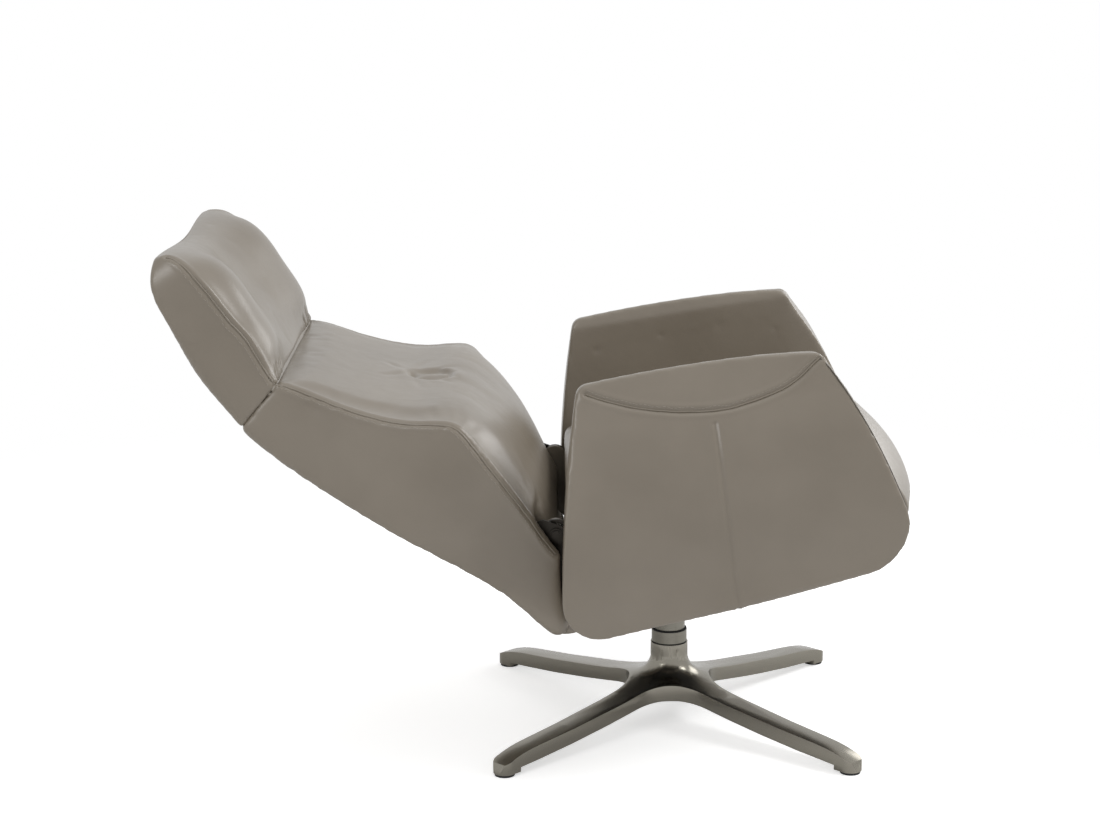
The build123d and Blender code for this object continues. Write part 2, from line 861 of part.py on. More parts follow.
def arm_board_outline(y, spread):
    """Side outline of the board inside an arm, spread by a gap."""
    with BuildSketch(seat_side(y)) as outline:
        Polygon(*[arm_spot(share) for share in arm_board_shares], align=None)
        fillet(outline.vertices(), arm_board_corner_radius)
        offset(amount=spread, mode=Mode.REPLACE)
    return outline.sketch


# Arm cover: side outline met with a leaning section, hollowed for pad and board
arm_front_end = (arm_length - arm_rear + cut_over, 0, 0)
arm_end_plane = Plane(
    origin=seat_base.from_local_coords(arm_front_end),
    x_dir=(0, -1, 0),
    z_dir=-seat_base.x_dir,
)


def arm_section_spot(share):
    """Place on the upright section of an arm from its shares."""
    out, up = share
    return (arm_inner + out * arm_thick, up * arm_height - arm_drop)


board_inner = arm_inner + seat_gap + arm_pad_thick + slip_gap
board_outer = board_inner + arm_board_thick
with BuildPart() as arm_cover:
    extrude(arm_outline(-arm_inner), amount=arm_thick)
    with BuildSketch(arm_end_plane) as arm_section:
        with BuildLine():
            inner_line = [arm_section_spot(share) for share in arm_inner_shares]
            facet_spot = arm_section_spot(arm_facet_share)
            outer_line = [arm_section_spot(share) for share in arm_outer_shares]
            Polyline(*inner_line, facet_spot)
            Spline(facet_spot, *outer_line)
        make_face()
        ridge_ends = [arm_section.vertices().sort_by_distance(spot)[0] for spot in inner_line[2:]]
        fillet(ridge_ends, arm_ridge_radius)
    extrude(amount=arm_length + 2 * cut_over, mode=Mode.INTERSECT)
    pocket = arm_board_outline(cut_over - arm_inner, slip_gap)
    extrude(pocket, amount=cut_over + board_outer + slip_gap - arm_inner, mode=Mode.SUBTRACT)
save_pair(arm_cover, "arm_cover")

# Inner pad and board that fill the arm
with BuildPart() as arm_pad:
    extrude(arm_board_outline(-arm_inner - seat_gap, 0), amount=arm_pad_thick)
    with BuildSketch(seat_side(-arm_inner)):
        with Locations(*bolt_spots):
            Circle(spacer_radius + slip_gap)
    extrude(amount=arm_thick, mode=Mode.SUBTRACT)
save_pair(arm_pad, "arm_pad")

with BuildPart() as arm_board:
    extrude(arm_board_outline(-board_inner, 0), amount=arm_board_thick)
    with BuildSketch(seat_side(-board_inner)):
        with Locations(*bolt_spots):
            Circle(arm_bolt_radius)
    extrude(amount=arm_bolt_bite + seat_gap, mode=Mode.SUBTRACT)
save_pair(arm_board, "arm_board")

# Tube spacers between frame and arm boards, and their bolts
with BuildPart() as arm_spacers:
    with BuildSketch(seat_side(-rail_half_span)):
        with Locations(*bolt_spots):
            Circle(spacer_radius)
            Circle(arm_bolt_radius + slip_gap, mode=Mode.SUBTRACT)
    extrude(amount=board_inner - rail_half_span)
    mirror(about=Plane.XZ)
save(arm_spacers, "arm_spacers")

rail_inner_out = rail_half_span - rail_size
with BuildPart() as arm_bolts:
    with BuildSketch(seat_side(bolt_head_height - rail_inner_out)):
        with Locations(*bolt_spots):
            Circle(arm_bolt_head_radius)
    extrude(amount=bolt_head_height)
    with BuildSketch(seat_side(-rail_inner_out)):
        with Locations(*bolt_spots):
            Circle(arm_bolt_radius - running_gap)
    extrude(amount=board_inner + arm_bolt_bite - rail_inner_out)
    mirror(about=Plane.XZ)
save(arm_bolts, "arm_bolts")

# Hinge plates of the seat, rising behind the cushion to the recline pivot
hinge_rise = hinge_above - rail_foot - rail_size
hinge_spot = (-hinge_behind, hinge_above)
plate_line = [
    (hinge_spot[0] + x, hinge_spot[1] + up)
    for x, up in scaled(hinge_plate_shares, hinge_rise * 5 / 6, hinge_rise * 5 / 6)
]
hinge_plate_outer = rail_half_span + hinge_plate_thick
with BuildPart() as seat_hinge_plates:
    with BuildSketch(seat_side(-rail_half_span)):
        Polygon(*plate_line, align=None)
        with Locations(hinge_spot):
            Circle(hinge_plate_radius)
            Circle(hinge_pin_radius + running_gap, mode=Mode.SUBTRACT)
    extrude(amount=hinge_plate_thick)
    mirror(about=Plane.XZ)
save(seat_hinge_plates, "seat_hinge_plates")

# Recline pins with a head inside and a clip outside
washer_outer = hinge_plate_outer + washer_thick
back_plate_inner = washer_outer + running_gap
back_plate_outer = back_plate_inner + back_plate_thick
pin_clip_inner = back_plate_outer + seat_gap
pin_reach = pin_clip_inner + clip_height + pin_end
pin_groove_radius = hinge_pin_radius - groove_depth
with BuildPart() as recline_pins:
    with BuildSketch(seat_side(pin_head_height - rail_half_span)):
        with Locations(hinge_spot):
            Circle(pin_head_radius)
    extrude(amount=pin_head_height)
    with BuildSketch(seat_side(-rail_half_span)):
        with Locations(hinge_spot):
            Circle(hinge_pin_radius)
    extrude(amount=pin_reach - rail_half_span)
    with BuildSketch(seat_side(-pin_clip_inner)):
        with Locations(hinge_spot):
            Circle(hinge_pin_radius)
            Circle(pin_groove_radius, mode=Mode.SUBTRACT)
    extrude(amount=clip_height + running_gap, mode=Mode.SUBTRACT)
    mirror(about=Plane.XZ)
save(recline_pins, "recline_pins")

with BuildPart() as pin_clips:
    with BuildSketch(seat_side(-pin_clip_inner)):
        with Locations(hinge_spot):
            Circle(pin_head_radius)
            Circle(pin_groove_radius + running_gap, mode=Mode.SUBTRACT)
    extrude(amount=clip_height)
    mirror(about=Plane.XZ)
save(pin_clips, "pin_clips")

# Friction washers between the seat and back hinge plates
with BuildPart() as hinge_washers:
    with BuildSketch(seat_side(-hinge_plate_outer - running_gap)):
        with Locations(hinge_spot):
            Circle(washer_radius)
            Circle(hinge_pin_radius + running_gap, mode=Mode.SUBTRACT)
    extrude(amount=washer_thick)
    mirror(about=Plane.XZ)
save(hinge_washers, "hinge_washers")

# Lines of the back, up the unit and out of it
front_line = scaled(back_front_shares, back_length, back_depth)
rear_line = scaled(back_rear_shares, back_length, back_depth)
crown_line = [share[2] * back_crown for share in back_front_shares]


def band_profile(frame, y, front, rear):
    """Closed side outline of a padded unit between a front and a rear line."""
    with BuildSketch(unit_side(frame, y)) as outline:
        with BuildLine():
            Spline(*front)
            Line(front[-1], rear[0])
            Spline(*rear)
            Line(rear[-1], front[0])
        make_face()
    return outline.sketch


def parted(line, depth):
    """A line moved into the unit by a depth, run from its far end back."""
    return [(up, out - depth) for up, out in reversed(line)]


def width_outline(frame, shares, half_width, length, out):
    """Front outline of a leaning unit, curved down both sides."""
    right = scaled(shares, half_width, length)
    left = [(-x, up) for x, up in right]
    with BuildSketch(unit_front(frame, out)) as outline:
        with BuildLine():
            Spline(*right)
            Spline(*left)
            Line(right[0], left[0])
            Line(right[-1], left[-1])
        make_face()
    return outline.sketch


# Back cushion: full in the lumbar part and behind the wings, one deep tuft
loft_half = back_half_width + cut_over
crowned = [(up, out + rise) for (up, out), rise in zip(front_line, crown_line)]
back_sections = [
    (-loft_half, front_line, back_side_edge),
    (0, crowned, back_middle_edge),
    (loft_half, front_line, back_side_edge),
]
back_width = (back_width_shares, back_half_width, back_length)
with BuildPart() as back_cushion:
    loft(
        [
            band_profile(back_frame_plane, y, front, parted(front_line, edge))
            for y, front, edge in back_sections
        ]
    )
    extrude(
        width_outline(back_frame_plane, *back_width, -back_depth),
        amount=2 * back_depth,
        mode=Mode.INTERSECT,
    )
    foot_cut = back_half_width - back_foot_half_width
    foot_middle = back_foot_half_width + foot_cut / 2
    with Locations(back_frame_plane):
        with Locations((foot_middle, 0), (-foot_middle, 0)):
            Box(
                foot_cut,
                2 * back_depth,
                2 * back_foot_rise,
                mode=Mode.SUBTRACT,
            )
    tuft_spot = back_frame_plane.from_local_coords(
        (0, tuft_radius + crown_line[8] + front_line[8][1] - tuft_depth, tuft_up)
    )
    with Locations(tuft_spot):
        Sphere(tuft_radius, mode=Mode.SUBTRACT)
save(back_cushion, "back_cushion")

# Back shell: a padded tub, open to the front, its foot cut clear of the arms
foot_up, foot_out = rear_line[-1]
head_up, head_out = rear_line[0]
trim_x = recline_pivot.X + back_trim_ahead
cutter_line = [
    (-back_foot_rise, front_line[0][1]),
    *front_line,
    (back_length + back_foot_rise, front_line[-1][1]),
]
cutter_front = [(up, out + back_depth) for up, out in cutter_line]
cutter_sections = [(y, edge + 3 * seat_gap) for y, front, edge in back_sections]
cavity_roof = back_length - back_roof
cavity_line = [(cavity_roof, rear_line[1][1] + back_wall)]
cavity_line += [(up, out + back_wall) for up, out in rear_line[2:]]
leaf_clear = head_leaf_half_width + soft_gap
knuckle_clear_radius = head_knuckle_radius + soft_gap

# The room that the cushion takes; at its foot the cheeks of the shell rise to the front
cheek_width = loft_half - back_lip_half_width
cheek_middle = back_lip_half_width + cheek_width / 2
with BuildPart() as shell_cutter:
    loft(
        [
            band_profile(back_frame_plane, y, cutter_front, parted(cutter_line, edge))
            for y, edge in cutter_sections
        ]
    )
    with Locations(back_frame_plane):
        with Locations((cheek_middle, 0), (-cheek_middle, 0)):
            Box(
                cheek_width,
                3 * back_depth,
                2 * (back_foot_rise - soft_gap),
                mode=Mode.SUBTRACT,
            )
    extrude(
        band_profile(back_frame_plane, -loft_half, cutter_front, parted(cutter_line, 0)),
        amount=2 * loft_half,
    )

with BuildPart() as back_shell:
    with BuildSketch(unit_side(back_frame_plane, -loft_half)):
        with BuildLine():
            Spline(*rear_line)
            Polyline(
                rear_line[-1],
                (foot_up, back_depth / 2),
                (front_line[-1][0], back_depth / 2),
                front_line[-1],
                rear_line[0],
            )
        make_face()
    extrude(amount=2 * loft_half)
    extrude(
        width_outline(back_frame_plane, *back_width, -back_depth),
        amount=3 * back_depth,
        mode=Mode.INTERSECT,
    )
    add(shell_cutter.part, mode=Mode.SUBTRACT)
    with BuildSketch(unit_side(back_frame_plane, -back_cavity_half_width)):
        with BuildLine():
            Spline(*cavity_line)
            Polyline(
                cavity_line[-1],
                (foot_up - cut_over, cavity_line[-1][1]),
                (foot_up - cut_over, 2 * back_depth),
                (cavity_roof, 2 * back_depth),
                cavity_line[0],
            )
        make_face()
    extrude(amount=2 * back_cavity_half_width, mode=Mode.SUBTRACT)
    trim_width = back_half_width - back_lip_half_width
    trim_middle = back_lip_half_width + trim_width / 2
    with Locations((trim_x, trim_middle, recline_pivot.Z), (trim_x, -trim_middle, recline_pivot.Z)):
        Box(
            back_length,
            trim_width,
            back_length,
            align=(Align.MIN, Align.CENTER, Align.CENTER),
            mode=Mode.SUBTRACT,
        )
    with Locations(back_frame_plane):
        leaf_up = head_hinge_up - head_lower_leaf_length / 2
        leaf_pocket_depth = head_leaf_thick + 2 * seat_gap
        with Locations(
            (head_leaf_out, -head_hinge_back, leaf_up), (-head_leaf_out, -head_hinge_back, leaf_up)
        ):
            Box(
                2 * leaf_clear,
                leaf_pocket_depth,
                head_lower_leaf_length + 2 * soft_gap,
                mode=Mode.SUBTRACT,
            )
    for side in (1, -1):
        with BuildSketch(unit_side(head_frame_plane, side * head_leaf_out - leaf_clear)):
            Circle(knuckle_clear_radius)
        extrude(amount=2 * leaf_clear, mode=Mode.SUBTRACT)
save(back_shell, "back_shell")


def line_out(line, up):
    """How far out a line runs at a height, between its two nearest points."""
    for (low, low_out), (high, high_out) in zip(line, line[1:]):
        if low <= up <= high:
            share = (up - low) / (high - low)
            return low_out + share * (high_out - low_out)
    return line[-1][1]


# Back frame: two shaped sides with grooves, two rails, and a rail for the headrest
wire_depth = back_middle_edge + back_wire_gap + spring_wire_radius
frame_depth = wire_depth + seat_gap
wire_heights = [share * back_length for share in back_wire_shares]
wire_spots = [(up, line_out(front_line, up) - wire_depth) for up in wire_heights]
side_line = [(back_side_foot, front_line[1][1]), *front_line[2:12]]
side_front = [(up, out - frame_depth) for up, out in side_line]
side_rear = parted(side_line, frame_depth + back_side_depth)
back_side_outer = back_side_inner + back_side_thick
head_rail_front = head_leaf_thick / 2 + slip_gap - head_hinge_back
with BuildPart() as back_frame:
    extrude(
        band_profile(back_frame_plane, back_side_inner, side_front, side_rear),
        amount=back_side_thick,
    )
    mirror(about=Plane.XZ)
    for share in back_rail_shares:
        up = share * back_length
        out = line_out(front_line, up) - frame_depth - back_rail_sink - back_side_depth / 2
        with Locations(back_frame_plane):
            with Locations((0, out, up)):
                Box(2 * back_side_inner + back_side_thick, back_side_depth, back_rail_height)
    with Locations(back_frame_plane):
        with Locations((0, head_rail_front, back_length - head_rail_below)):
            Box(
                2 * back_side_inner + back_side_thick,
                head_rail_depth,
                head_rail_height,
                align=(Align.CENTER, Align.MIN, Align.MIN),
            )
    bolt_holes = scaled(back_bolt_shares, back_length, back_length)
    with BuildSketch(unit_side(back_frame_plane, -back_side_outer)):
        with Locations(*bolt_holes):
            Circle(bolt_radius)
    extrude(amount=2 * back_side_outer, mode=Mode.SUBTRACT)
    with BuildSketch(unit_side(back_frame_plane, -back_side_outer)):
        with Locations(*wire_spots):
            Circle(spring_wire_radius + seat_gap)
    extrude(amount=2 * back_side_outer, mode=Mode.SUBTRACT)
save(back_frame, "back_frame")

# Support wires in grooves across the back frame, behind the cushion
wire_half_length = back_side_inner + back_side_thick / 2
with BuildPart() as back_wires:
    with BuildSketch(unit_side(back_frame_plane, -wire_half_length)):
        with Locations(*wire_spots):
            Circle(spring_wire_radius)
    extrude(amount=2 * wire_half_length)
save(back_wires, "back_wires")

# Hinge plates of the back, bolted to the sides of its frame
back_plate_line = scaled(back_plate_shares, back_length, back_length)
with BuildPart() as back_hinge_plates:
    with BuildSketch(unit_side(back_frame_plane, back_plate_inner)):
        Polygon(*back_plate_line, align=None)
        Circle(back_plate_radius)
        Circle(hinge_pin_radius + running_gap, mode=Mode.SUBTRACT)
        with Locations(*bolt_holes):
            Circle(bolt_radius + slip_gap, mode=Mode.SUBTRACT)
    extrude(amount=back_plate_thick)
    mirror(about=Plane.XZ)
save(back_hinge_plates, "back_hinge_plates")

with BuildPart() as back_bolts:
    with BuildSketch(unit_side(back_frame_plane, back_side_inner)):
        with Locations(*bolt_holes):
            Circle(bolt_radius - running_gap)
    extrude(amount=back_plate_outer - back_side_inner)
    with BuildSketch(unit_side(back_frame_plane, back_plate_outer)):
        with Locations(*bolt_holes):
            Circle(bolt_head_radius)
    extrude(amount=back_bolt_head_height)
    mirror(about=Plane.XZ)
save(back_bolts, "back_bolts")

# Headrest hinges: leaves on the back, leaves on the headrest and their pins
knuckle_inner = head_knuckle_half_width + slip_gap
leaf_side = head_leaf_out - head_leaf_half_width
with BuildPart() as headrest_lower_leaves:
    with Locations(back_frame_plane):
        with Locations((-head_leaf_out, -head_hinge_back, head_hinge_up)):
            Box(
                2 * head_leaf_half_width,
                head_leaf_thick,
                head_lower_leaf_length,
                align=(Align.CENTER, Align.CENTER, Align.MAX),
            )
    with BuildSketch(unit_side(head_frame_plane, leaf_side)):
        Circle(head_knuckle_radius)
    extrude(amount=2 * head_leaf_half_width)
    with BuildSketch(unit_side(head_frame_plane, head_leaf_out - knuckle_inner)):
        Circle(knuckle_clear_radius)
    extrude(amount=2 * knuckle_inner, mode=Mode.SUBTRACT)
    with BuildSketch(unit_side(head_frame_plane, leaf_side)):
        Circle(head_pin_radius)
    extrude(amount=2 * head_leaf_half_width, mode=Mode.SUBTRACT)
    mirror(about=Plane.XZ)
save(headrest_lower_leaves, "headrest_lower_leaves")

with BuildPart() as headrest_pins:
    with BuildSketch(unit_side(head_frame_plane, leaf_side - head_pin_end / 2)):
        Circle(head_pin_radius - running_gap)
    extrude(amount=2 * head_leaf_half_width + head_pin_end)
    mirror(about=Plane.XZ)
save(headrest_pins, "headrest_pins")

with BuildPart() as headrest_upper_leaves:
    with Locations(head_frame_plane):
        with Locations((-head_leaf_out, 0, knuckle_clear_radius)):
            Box(
                2 * head_leaf_half_width,
                head_leaf_thick,
                head_leaf_length,
                align=(Align.CENTER, Align.CENTER, Align.MIN),
            )
        with Locations((-head_leaf_out, 0, 0)):
            Box(
                2 * head_knuckle_half_width,
                head_leaf_thick,
                2 * knuckle_clear_radius,
                align=(Align.CENTER, Align.CENTER, Align.MIN),
            )
    with BuildSketch(unit_side(head_frame_plane, head_leaf_out - head_knuckle_half_width)):
        Circle(head_knuckle_radius)
    extrude(amount=2 * head_knuckle_half_width)
    with BuildSketch(unit_side(head_frame_plane, head_leaf_out - head_knuckle_half_width)):
        Circle(head_pin_radius + running_gap)
    extrude(amount=2 * head_knuckle_half_width, mode=Mode.SUBTRACT)
    mirror(about=Plane.XZ)
save(headrest_upper_leaves, "headrest_upper_leaves")

# Board inside the headrest
board_out = head_leaf_thick / 2 + seat_gap
with BuildPart() as headrest_board:
    with Locations(head_frame_plane):
        with Locations((0, board_out, head_board_foot)):
            Box(
                2 * head_board_half_width,
                head_board_thick,
                head_board_length,
                align=(Align.CENTER, Align.MIN, Align.MIN),
            )
save(headrest_board, "headrest_board")

# Lines of the headrest
head_side_line = scaled(head_front_shares, head_length, head_depth)
head_rear_line = scaled(head_rear_shares, head_length, head_depth)
wing_shares = [share[2] for share in head_front_shares]
head_loft_half = head_half_width + cut_over
head_sections = [
    (-head_loft_half, 0),
    (-head_wing_half_width, head_wing_rise),
    (0, -head_middle_dip),
    (head_wing_half_width, head_wing_rise),
    (head_loft_half, 0),
]
head_width = (head_width_shares, head_half_width, head_length)
head_parting = unit_front(head_frame_plane, head_pad)

# Headrest cushion: its front bulged into a wing on each side
with BuildPart() as headrest_cushion:
    profiles = []
    for y, rise in head_sections:
        front = [
            (up, out + rise * share) for (up, out), share in zip(head_side_line, wing_shares)
        ]
        profiles.append(band_profile(head_frame_plane, y, front[:-1], head_rear_line))
    loft(profiles)
    extrude(
        width_outline(head_frame_plane, *head_width, -2 * head_depth),
        amount=4 * head_depth,
        mode=Mode.INTERSECT,
    )
    split(bisect_by=head_parting, keep=Keep.TOP)
save(headrest_cushion, "headrest_cushion")

# Headrest shell: rear pad with pockets for the board and the hinge leaves
with BuildPart() as headrest_shell:
    extrude(
        band_profile(head_frame_plane, -head_loft_half, head_side_line[:-1], head_rear_line),
        amount=2 * head_loft_half,
    )
    extrude(
        width_outline(head_frame_plane, *head_width, -2 * head_depth),
        amount=4 * head_depth,
        mode=Mode.INTERSECT,
    )
    split(bisect_by=head_parting, keep=Keep.BOTTOM)
    with Locations(head_frame_plane):
        with Locations((0, board_out - slip_gap, head_board_foot - slip_gap)):
            Box(
                2 * head_board_half_width + 2 * slip_gap,
                head_depth,
                head_board_length + 2 * slip_gap,
                align=(Align.CENTER, Align.MIN, Align.MIN),
                mode=Mode.SUBTRACT,
            )
        leaf_rear = -head_leaf_thick / 2 - seat_gap
        with Locations((head_leaf_out, leaf_rear, 0), (-head_leaf_out, leaf_rear, 0)):
            Box(
                2 * leaf_clear,
                head_depth,
                knuckle_clear_radius + head_leaf_length + slip_gap,
                align=(Align.CENTER, Align.MIN, Align.MIN),
                mode=Mode.SUBTRACT,
            )
    for side in (1, -1):
        with BuildSketch(unit_side(head_frame_plane, side * head_leaf_out - leaf_clear)):
            Circle(knuckle_clear_radius)
        extrude(amount=2 * leaf_clear, mode=Mode.SUBTRACT)
save(headrest_shell, "headrest_shell")
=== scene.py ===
"""Looks of a leather swivel recliner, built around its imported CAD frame.

The upholstered units start from the CAD solids, are filled with a short cloth simulation and then
get their seams, welts, tucks and creases. The star base is a bevelled copy of its CAD mesh.
"""

import json
import logging
import math
from dataclasses import dataclass, field
from enum import Enum

import bpy
import numpy as np
from mathutils import Matrix, Vector
from mathutils.bvhtree import BVHTree

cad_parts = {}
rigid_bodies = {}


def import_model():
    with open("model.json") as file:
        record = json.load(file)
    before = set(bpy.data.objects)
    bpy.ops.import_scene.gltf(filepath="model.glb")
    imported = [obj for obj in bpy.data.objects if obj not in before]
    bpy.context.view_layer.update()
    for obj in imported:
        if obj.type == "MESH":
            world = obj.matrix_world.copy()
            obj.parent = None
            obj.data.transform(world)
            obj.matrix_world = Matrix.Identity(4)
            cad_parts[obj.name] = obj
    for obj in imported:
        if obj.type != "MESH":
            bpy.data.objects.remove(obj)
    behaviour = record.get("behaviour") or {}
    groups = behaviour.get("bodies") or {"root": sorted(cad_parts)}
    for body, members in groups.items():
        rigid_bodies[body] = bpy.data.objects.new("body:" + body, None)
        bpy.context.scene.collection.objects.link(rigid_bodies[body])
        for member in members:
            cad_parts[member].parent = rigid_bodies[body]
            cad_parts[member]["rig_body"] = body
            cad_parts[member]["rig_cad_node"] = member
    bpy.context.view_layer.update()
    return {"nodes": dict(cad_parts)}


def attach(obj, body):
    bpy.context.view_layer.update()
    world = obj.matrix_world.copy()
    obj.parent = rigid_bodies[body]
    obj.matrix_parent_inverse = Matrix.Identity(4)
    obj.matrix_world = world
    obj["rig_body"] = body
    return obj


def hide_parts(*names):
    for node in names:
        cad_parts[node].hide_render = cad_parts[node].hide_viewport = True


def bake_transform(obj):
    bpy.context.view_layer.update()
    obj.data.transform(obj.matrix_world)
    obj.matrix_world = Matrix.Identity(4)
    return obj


LOG = logging.getLogger("recliner")
MM = 0.001
Node = bpy.types.Node
Piece = bpy.types.Object
Line = list[tuple[float, float]]


class Side(Enum):
    """The two sides of the chair, as the sign of their place across it."""

    NEAR = -1
    FAR = 1


# ---------------------------------------------------------------- shader helpers


def linear(shade: str) -> tuple[float, float, float, float]:
    """Turns a written sRGB colour into linear light.

    Args:
        shade: The colour as a hash and six hex digits.

    Returns:
        Red, green, blue and alpha for a shader socket.
    """
    parts = [int(shade[i : i + 2], 16) / 255 for i in (1, 3, 5)]
    red, green, blue = (p / 12.92 if p <= 0.04045 else ((p + 0.055) / 1.055) ** 2.4 for p in parts)
    return (red, green, blue, 1.0)


def add_node(
    tree: bpy.types.NodeTree,
    kind: str,
    settings: dict[str, object] | None = None,
    values: dict[str, object] | None = None,
    links: dict[str, bpy.types.NodeSocket] | None = None,
) -> Node:
    """Adds one shader node with its settings, socket values and incoming links.

    Args:
        tree: The node tree that it goes into.
        kind: The node's type name.
        settings: Properties of the node itself.
        values: Fixed values by input socket name.
        links: Output sockets to link in, by input socket name.

    Returns:
        The new node.
    """
    node = tree.nodes.new(kind)
    for name, value in (settings or {}).items():
        setattr(node, name, value)
    for name, value in (values or {}).items():
        node.inputs[name].default_value = value
    for name, socket in (links or {}).items():
        tree.links.new(socket, node.inputs[name])
    return node


def add_ramp(
    tree: bpy.types.NodeTree, stops: list[tuple[float, str]], source: bpy.types.NodeSocket
) -> Node:
    """Adds a colour ramp through written colours.

    Args:
        tree: The node tree that it goes into.
        stops: Place and colour of each stop.
        source: The value that drives the ramp.

    Returns:
        The ramp node.
    """
    node = add_node(tree, "ShaderNodeValToRGB", links={"Fac": source})
    ramp = node.color_ramp
    while len(ramp.elements) < len(stops):
        ramp.elements.new(0.5)
    for element, (place, shade) in zip(ramp.elements, stops):
        element.position = place
        element.color = linear(shade)
    return node


def start_material(name: str) -> tuple[bpy.types.Material, Node, bpy.types.NodeSocket]:
    """Starts a material with its surface shader and object coordinates.

    Args:
        name: The material's name.

    Returns:
        The material, its surface shader and the coordinates in metres.
    """
    material = bpy.data.materials.new(name)
    material.use_nodes = True
    shader = material.node_tree.nodes["Principled BSDF"]
    place = add_node(material.node_tree, "ShaderNodeTexCoord")
    return material, shader, place.outputs["Object"]


@dataclass(frozen=True)
class Leather:
    """Pigmented cowhide: a soft broad sheen over a fine pebbled grain."""

    name: str = "taupe_pigmented_leather"
    base: str = "#7c7366"
    deep: str = "#786f62"
    pale: str = "#80776a"
    roughness: float = 0.4
    grain: float = 1.3 * MM
    pull: float = 28 * MM

    def build(self) -> bpy.types.Material:
        """Makes the leather.

        Returns:
            The material.
        """
        material, shader, place = start_material(self.name)
        tree = material.node_tree
        # Hides take the pigment unevenly, so the tone drifts over a hand's width
        tone = add_node(
            tree, "ShaderNodeTexNoise", values={"Scale": 7.0, "Detail": 3.0}, links={"Vector": place}
        )
        colour = add_ramp(
            tree, [(0.35, self.deep), (0.5, self.base), (0.68, self.pale)], tone.outputs["Fac"]
        )
        tree.links.new(colour.outputs["Color"], shader.inputs["Base Color"])
        # Pebbled grain: cells about 1.3 mm across
        cells = add_node(
            tree,
            "ShaderNodeTexVoronoi",
            {"feature": "SMOOTH_F1"},
            {"Scale": 1 / self.grain, "Randomness": 1.0},
            {"Vector": place},
        )
        # Soft pulls where the hide was stretched over the foam, some 28 mm apart
        pulls = add_node(
            tree,
            "ShaderNodeTexNoise",
            values={"Scale": 1 / self.pull, "Detail": 2.0, "Distortion": 0.6},
            links={"Vector": place},
        )
        wide = add_node(
            tree,
            "ShaderNodeBump",
            values={"Strength": 0.35, "Distance": 0.8 * MM},
            links={"Height": pulls.outputs["Fac"]},
        )
        fine = add_node(
            tree,
            "ShaderNodeBump",
            {"invert": True},
            {"Strength": 0.3, "Distance": 0.12 * MM},
            {"Height": cells.outputs["Distance"], "Normal": wide.outputs["Normal"]},
        )
        tree.links.new(fine.outputs["Normal"], shader.inputs["Normal"])
        # Handled areas shine a little more than the rest
        wear = add_node(
            tree,
            "ShaderNodeMapRange",
            values={"To Min": self.roughness - 0.05, "To Max": self.roughness + 0.06},
            links={"Value": pulls.outputs["Fac"]},
        )
        tree.links.new(wear.outputs["Result"], shader.inputs["Roughness"])
        # The clear top coat of the pigment gives the satin highlights
        shader.inputs["Coat Weight"].default_value = 0.5
        shader.inputs["Coat Roughness"].default_value = 0.26
        return material


@dataclass(frozen=True)
class Metal:
    """A metal finish: its shine, and fine lines round the upright axis where it is brushed."""

    name: str
    shade: str
    roughness: float
    brushed: float = 0.0
    axis: tuple[float, float] = (0.0, 0.0)

    def build(self) -> bpy.types.Material:
        """Makes the metal.

        Returns:
            The material.
        """
        material, shader, place = start_material(self.name)
        tree = material.node_tree
        shader.inputs["Metallic"].default_value = 1.0
        shader.inputs["Base Color"].default_value = linear(self.shade)
        # Turning and brushing leave lines well under a millimetre apart up the height
        stretch = add_node(
            tree,
            "ShaderNodeMapping",
            values={"Scale": (8.0, 8.0, 1600.0) if self.brushed else (25.0, 25.0, 25.0)},
            links={"Vector": place},
        )
        streak = add_node(
            tree,
            "ShaderNodeTexNoise",
            values={"Scale": 1.0, "Detail": 3.0},
            links={"Vector": stretch.outputs["Vector"]},
        )
        rough = add_node(
            tree,
            "ShaderNodeMapRange",
            values={
                "To Min": self.roughness - 0.04 - self.brushed,
                "To Max": self.roughness + 0.04 + self.brushed,
            },
            links={"Value": streak.outputs["Fac"]},
        )
        tree.links.new(rough.outputs["Result"], shader.inputs["Roughness"])
        bump = add_node(
            tree,
            "ShaderNodeBump",
            values={"Strength": 0.03 + self.brushed, "Distance": 0.05 * MM},
            links={"Height": streak.outputs["Fac"]},
        )
        tree.links.new(bump.outputs["Normal"], shader.inputs["Normal"])
        return material


@dataclass(frozen=True)
class Coating:
    """A plain non-metal surface such as plastic, rubber or paint, with a fine speckled texture."""

    name: str
    shade: str
    roughness: float
    texture: float = 1.0 * MM
    relief: float = 0.05 * MM

    def build(self) -> bpy.types.Material:
        """Makes the surface.

        Returns:
            The material.
        """
        material, shader, place = start_material(self.name)
        tree = material.node_tree
        shader.inputs["Base Color"].default_value = linear(self.shade)
        shader.inputs["Roughness"].default_value = self.roughness
        speckle = add_node(
            tree,
            "ShaderNodeTexNoise",
            values={"Scale": 1 / self.texture, "Detail": 2.0},
            links={"Vector": place},
        )
        bump = add_node(
            tree,
            "ShaderNodeBump",
            values={"Strength": 0.5, "Distance": self.relief},
            links={"Height": speckle.outputs["Fac"]},
        )
        tree.links.new(bump.outputs["Normal"], shader.inputs["Normal"])
        return material


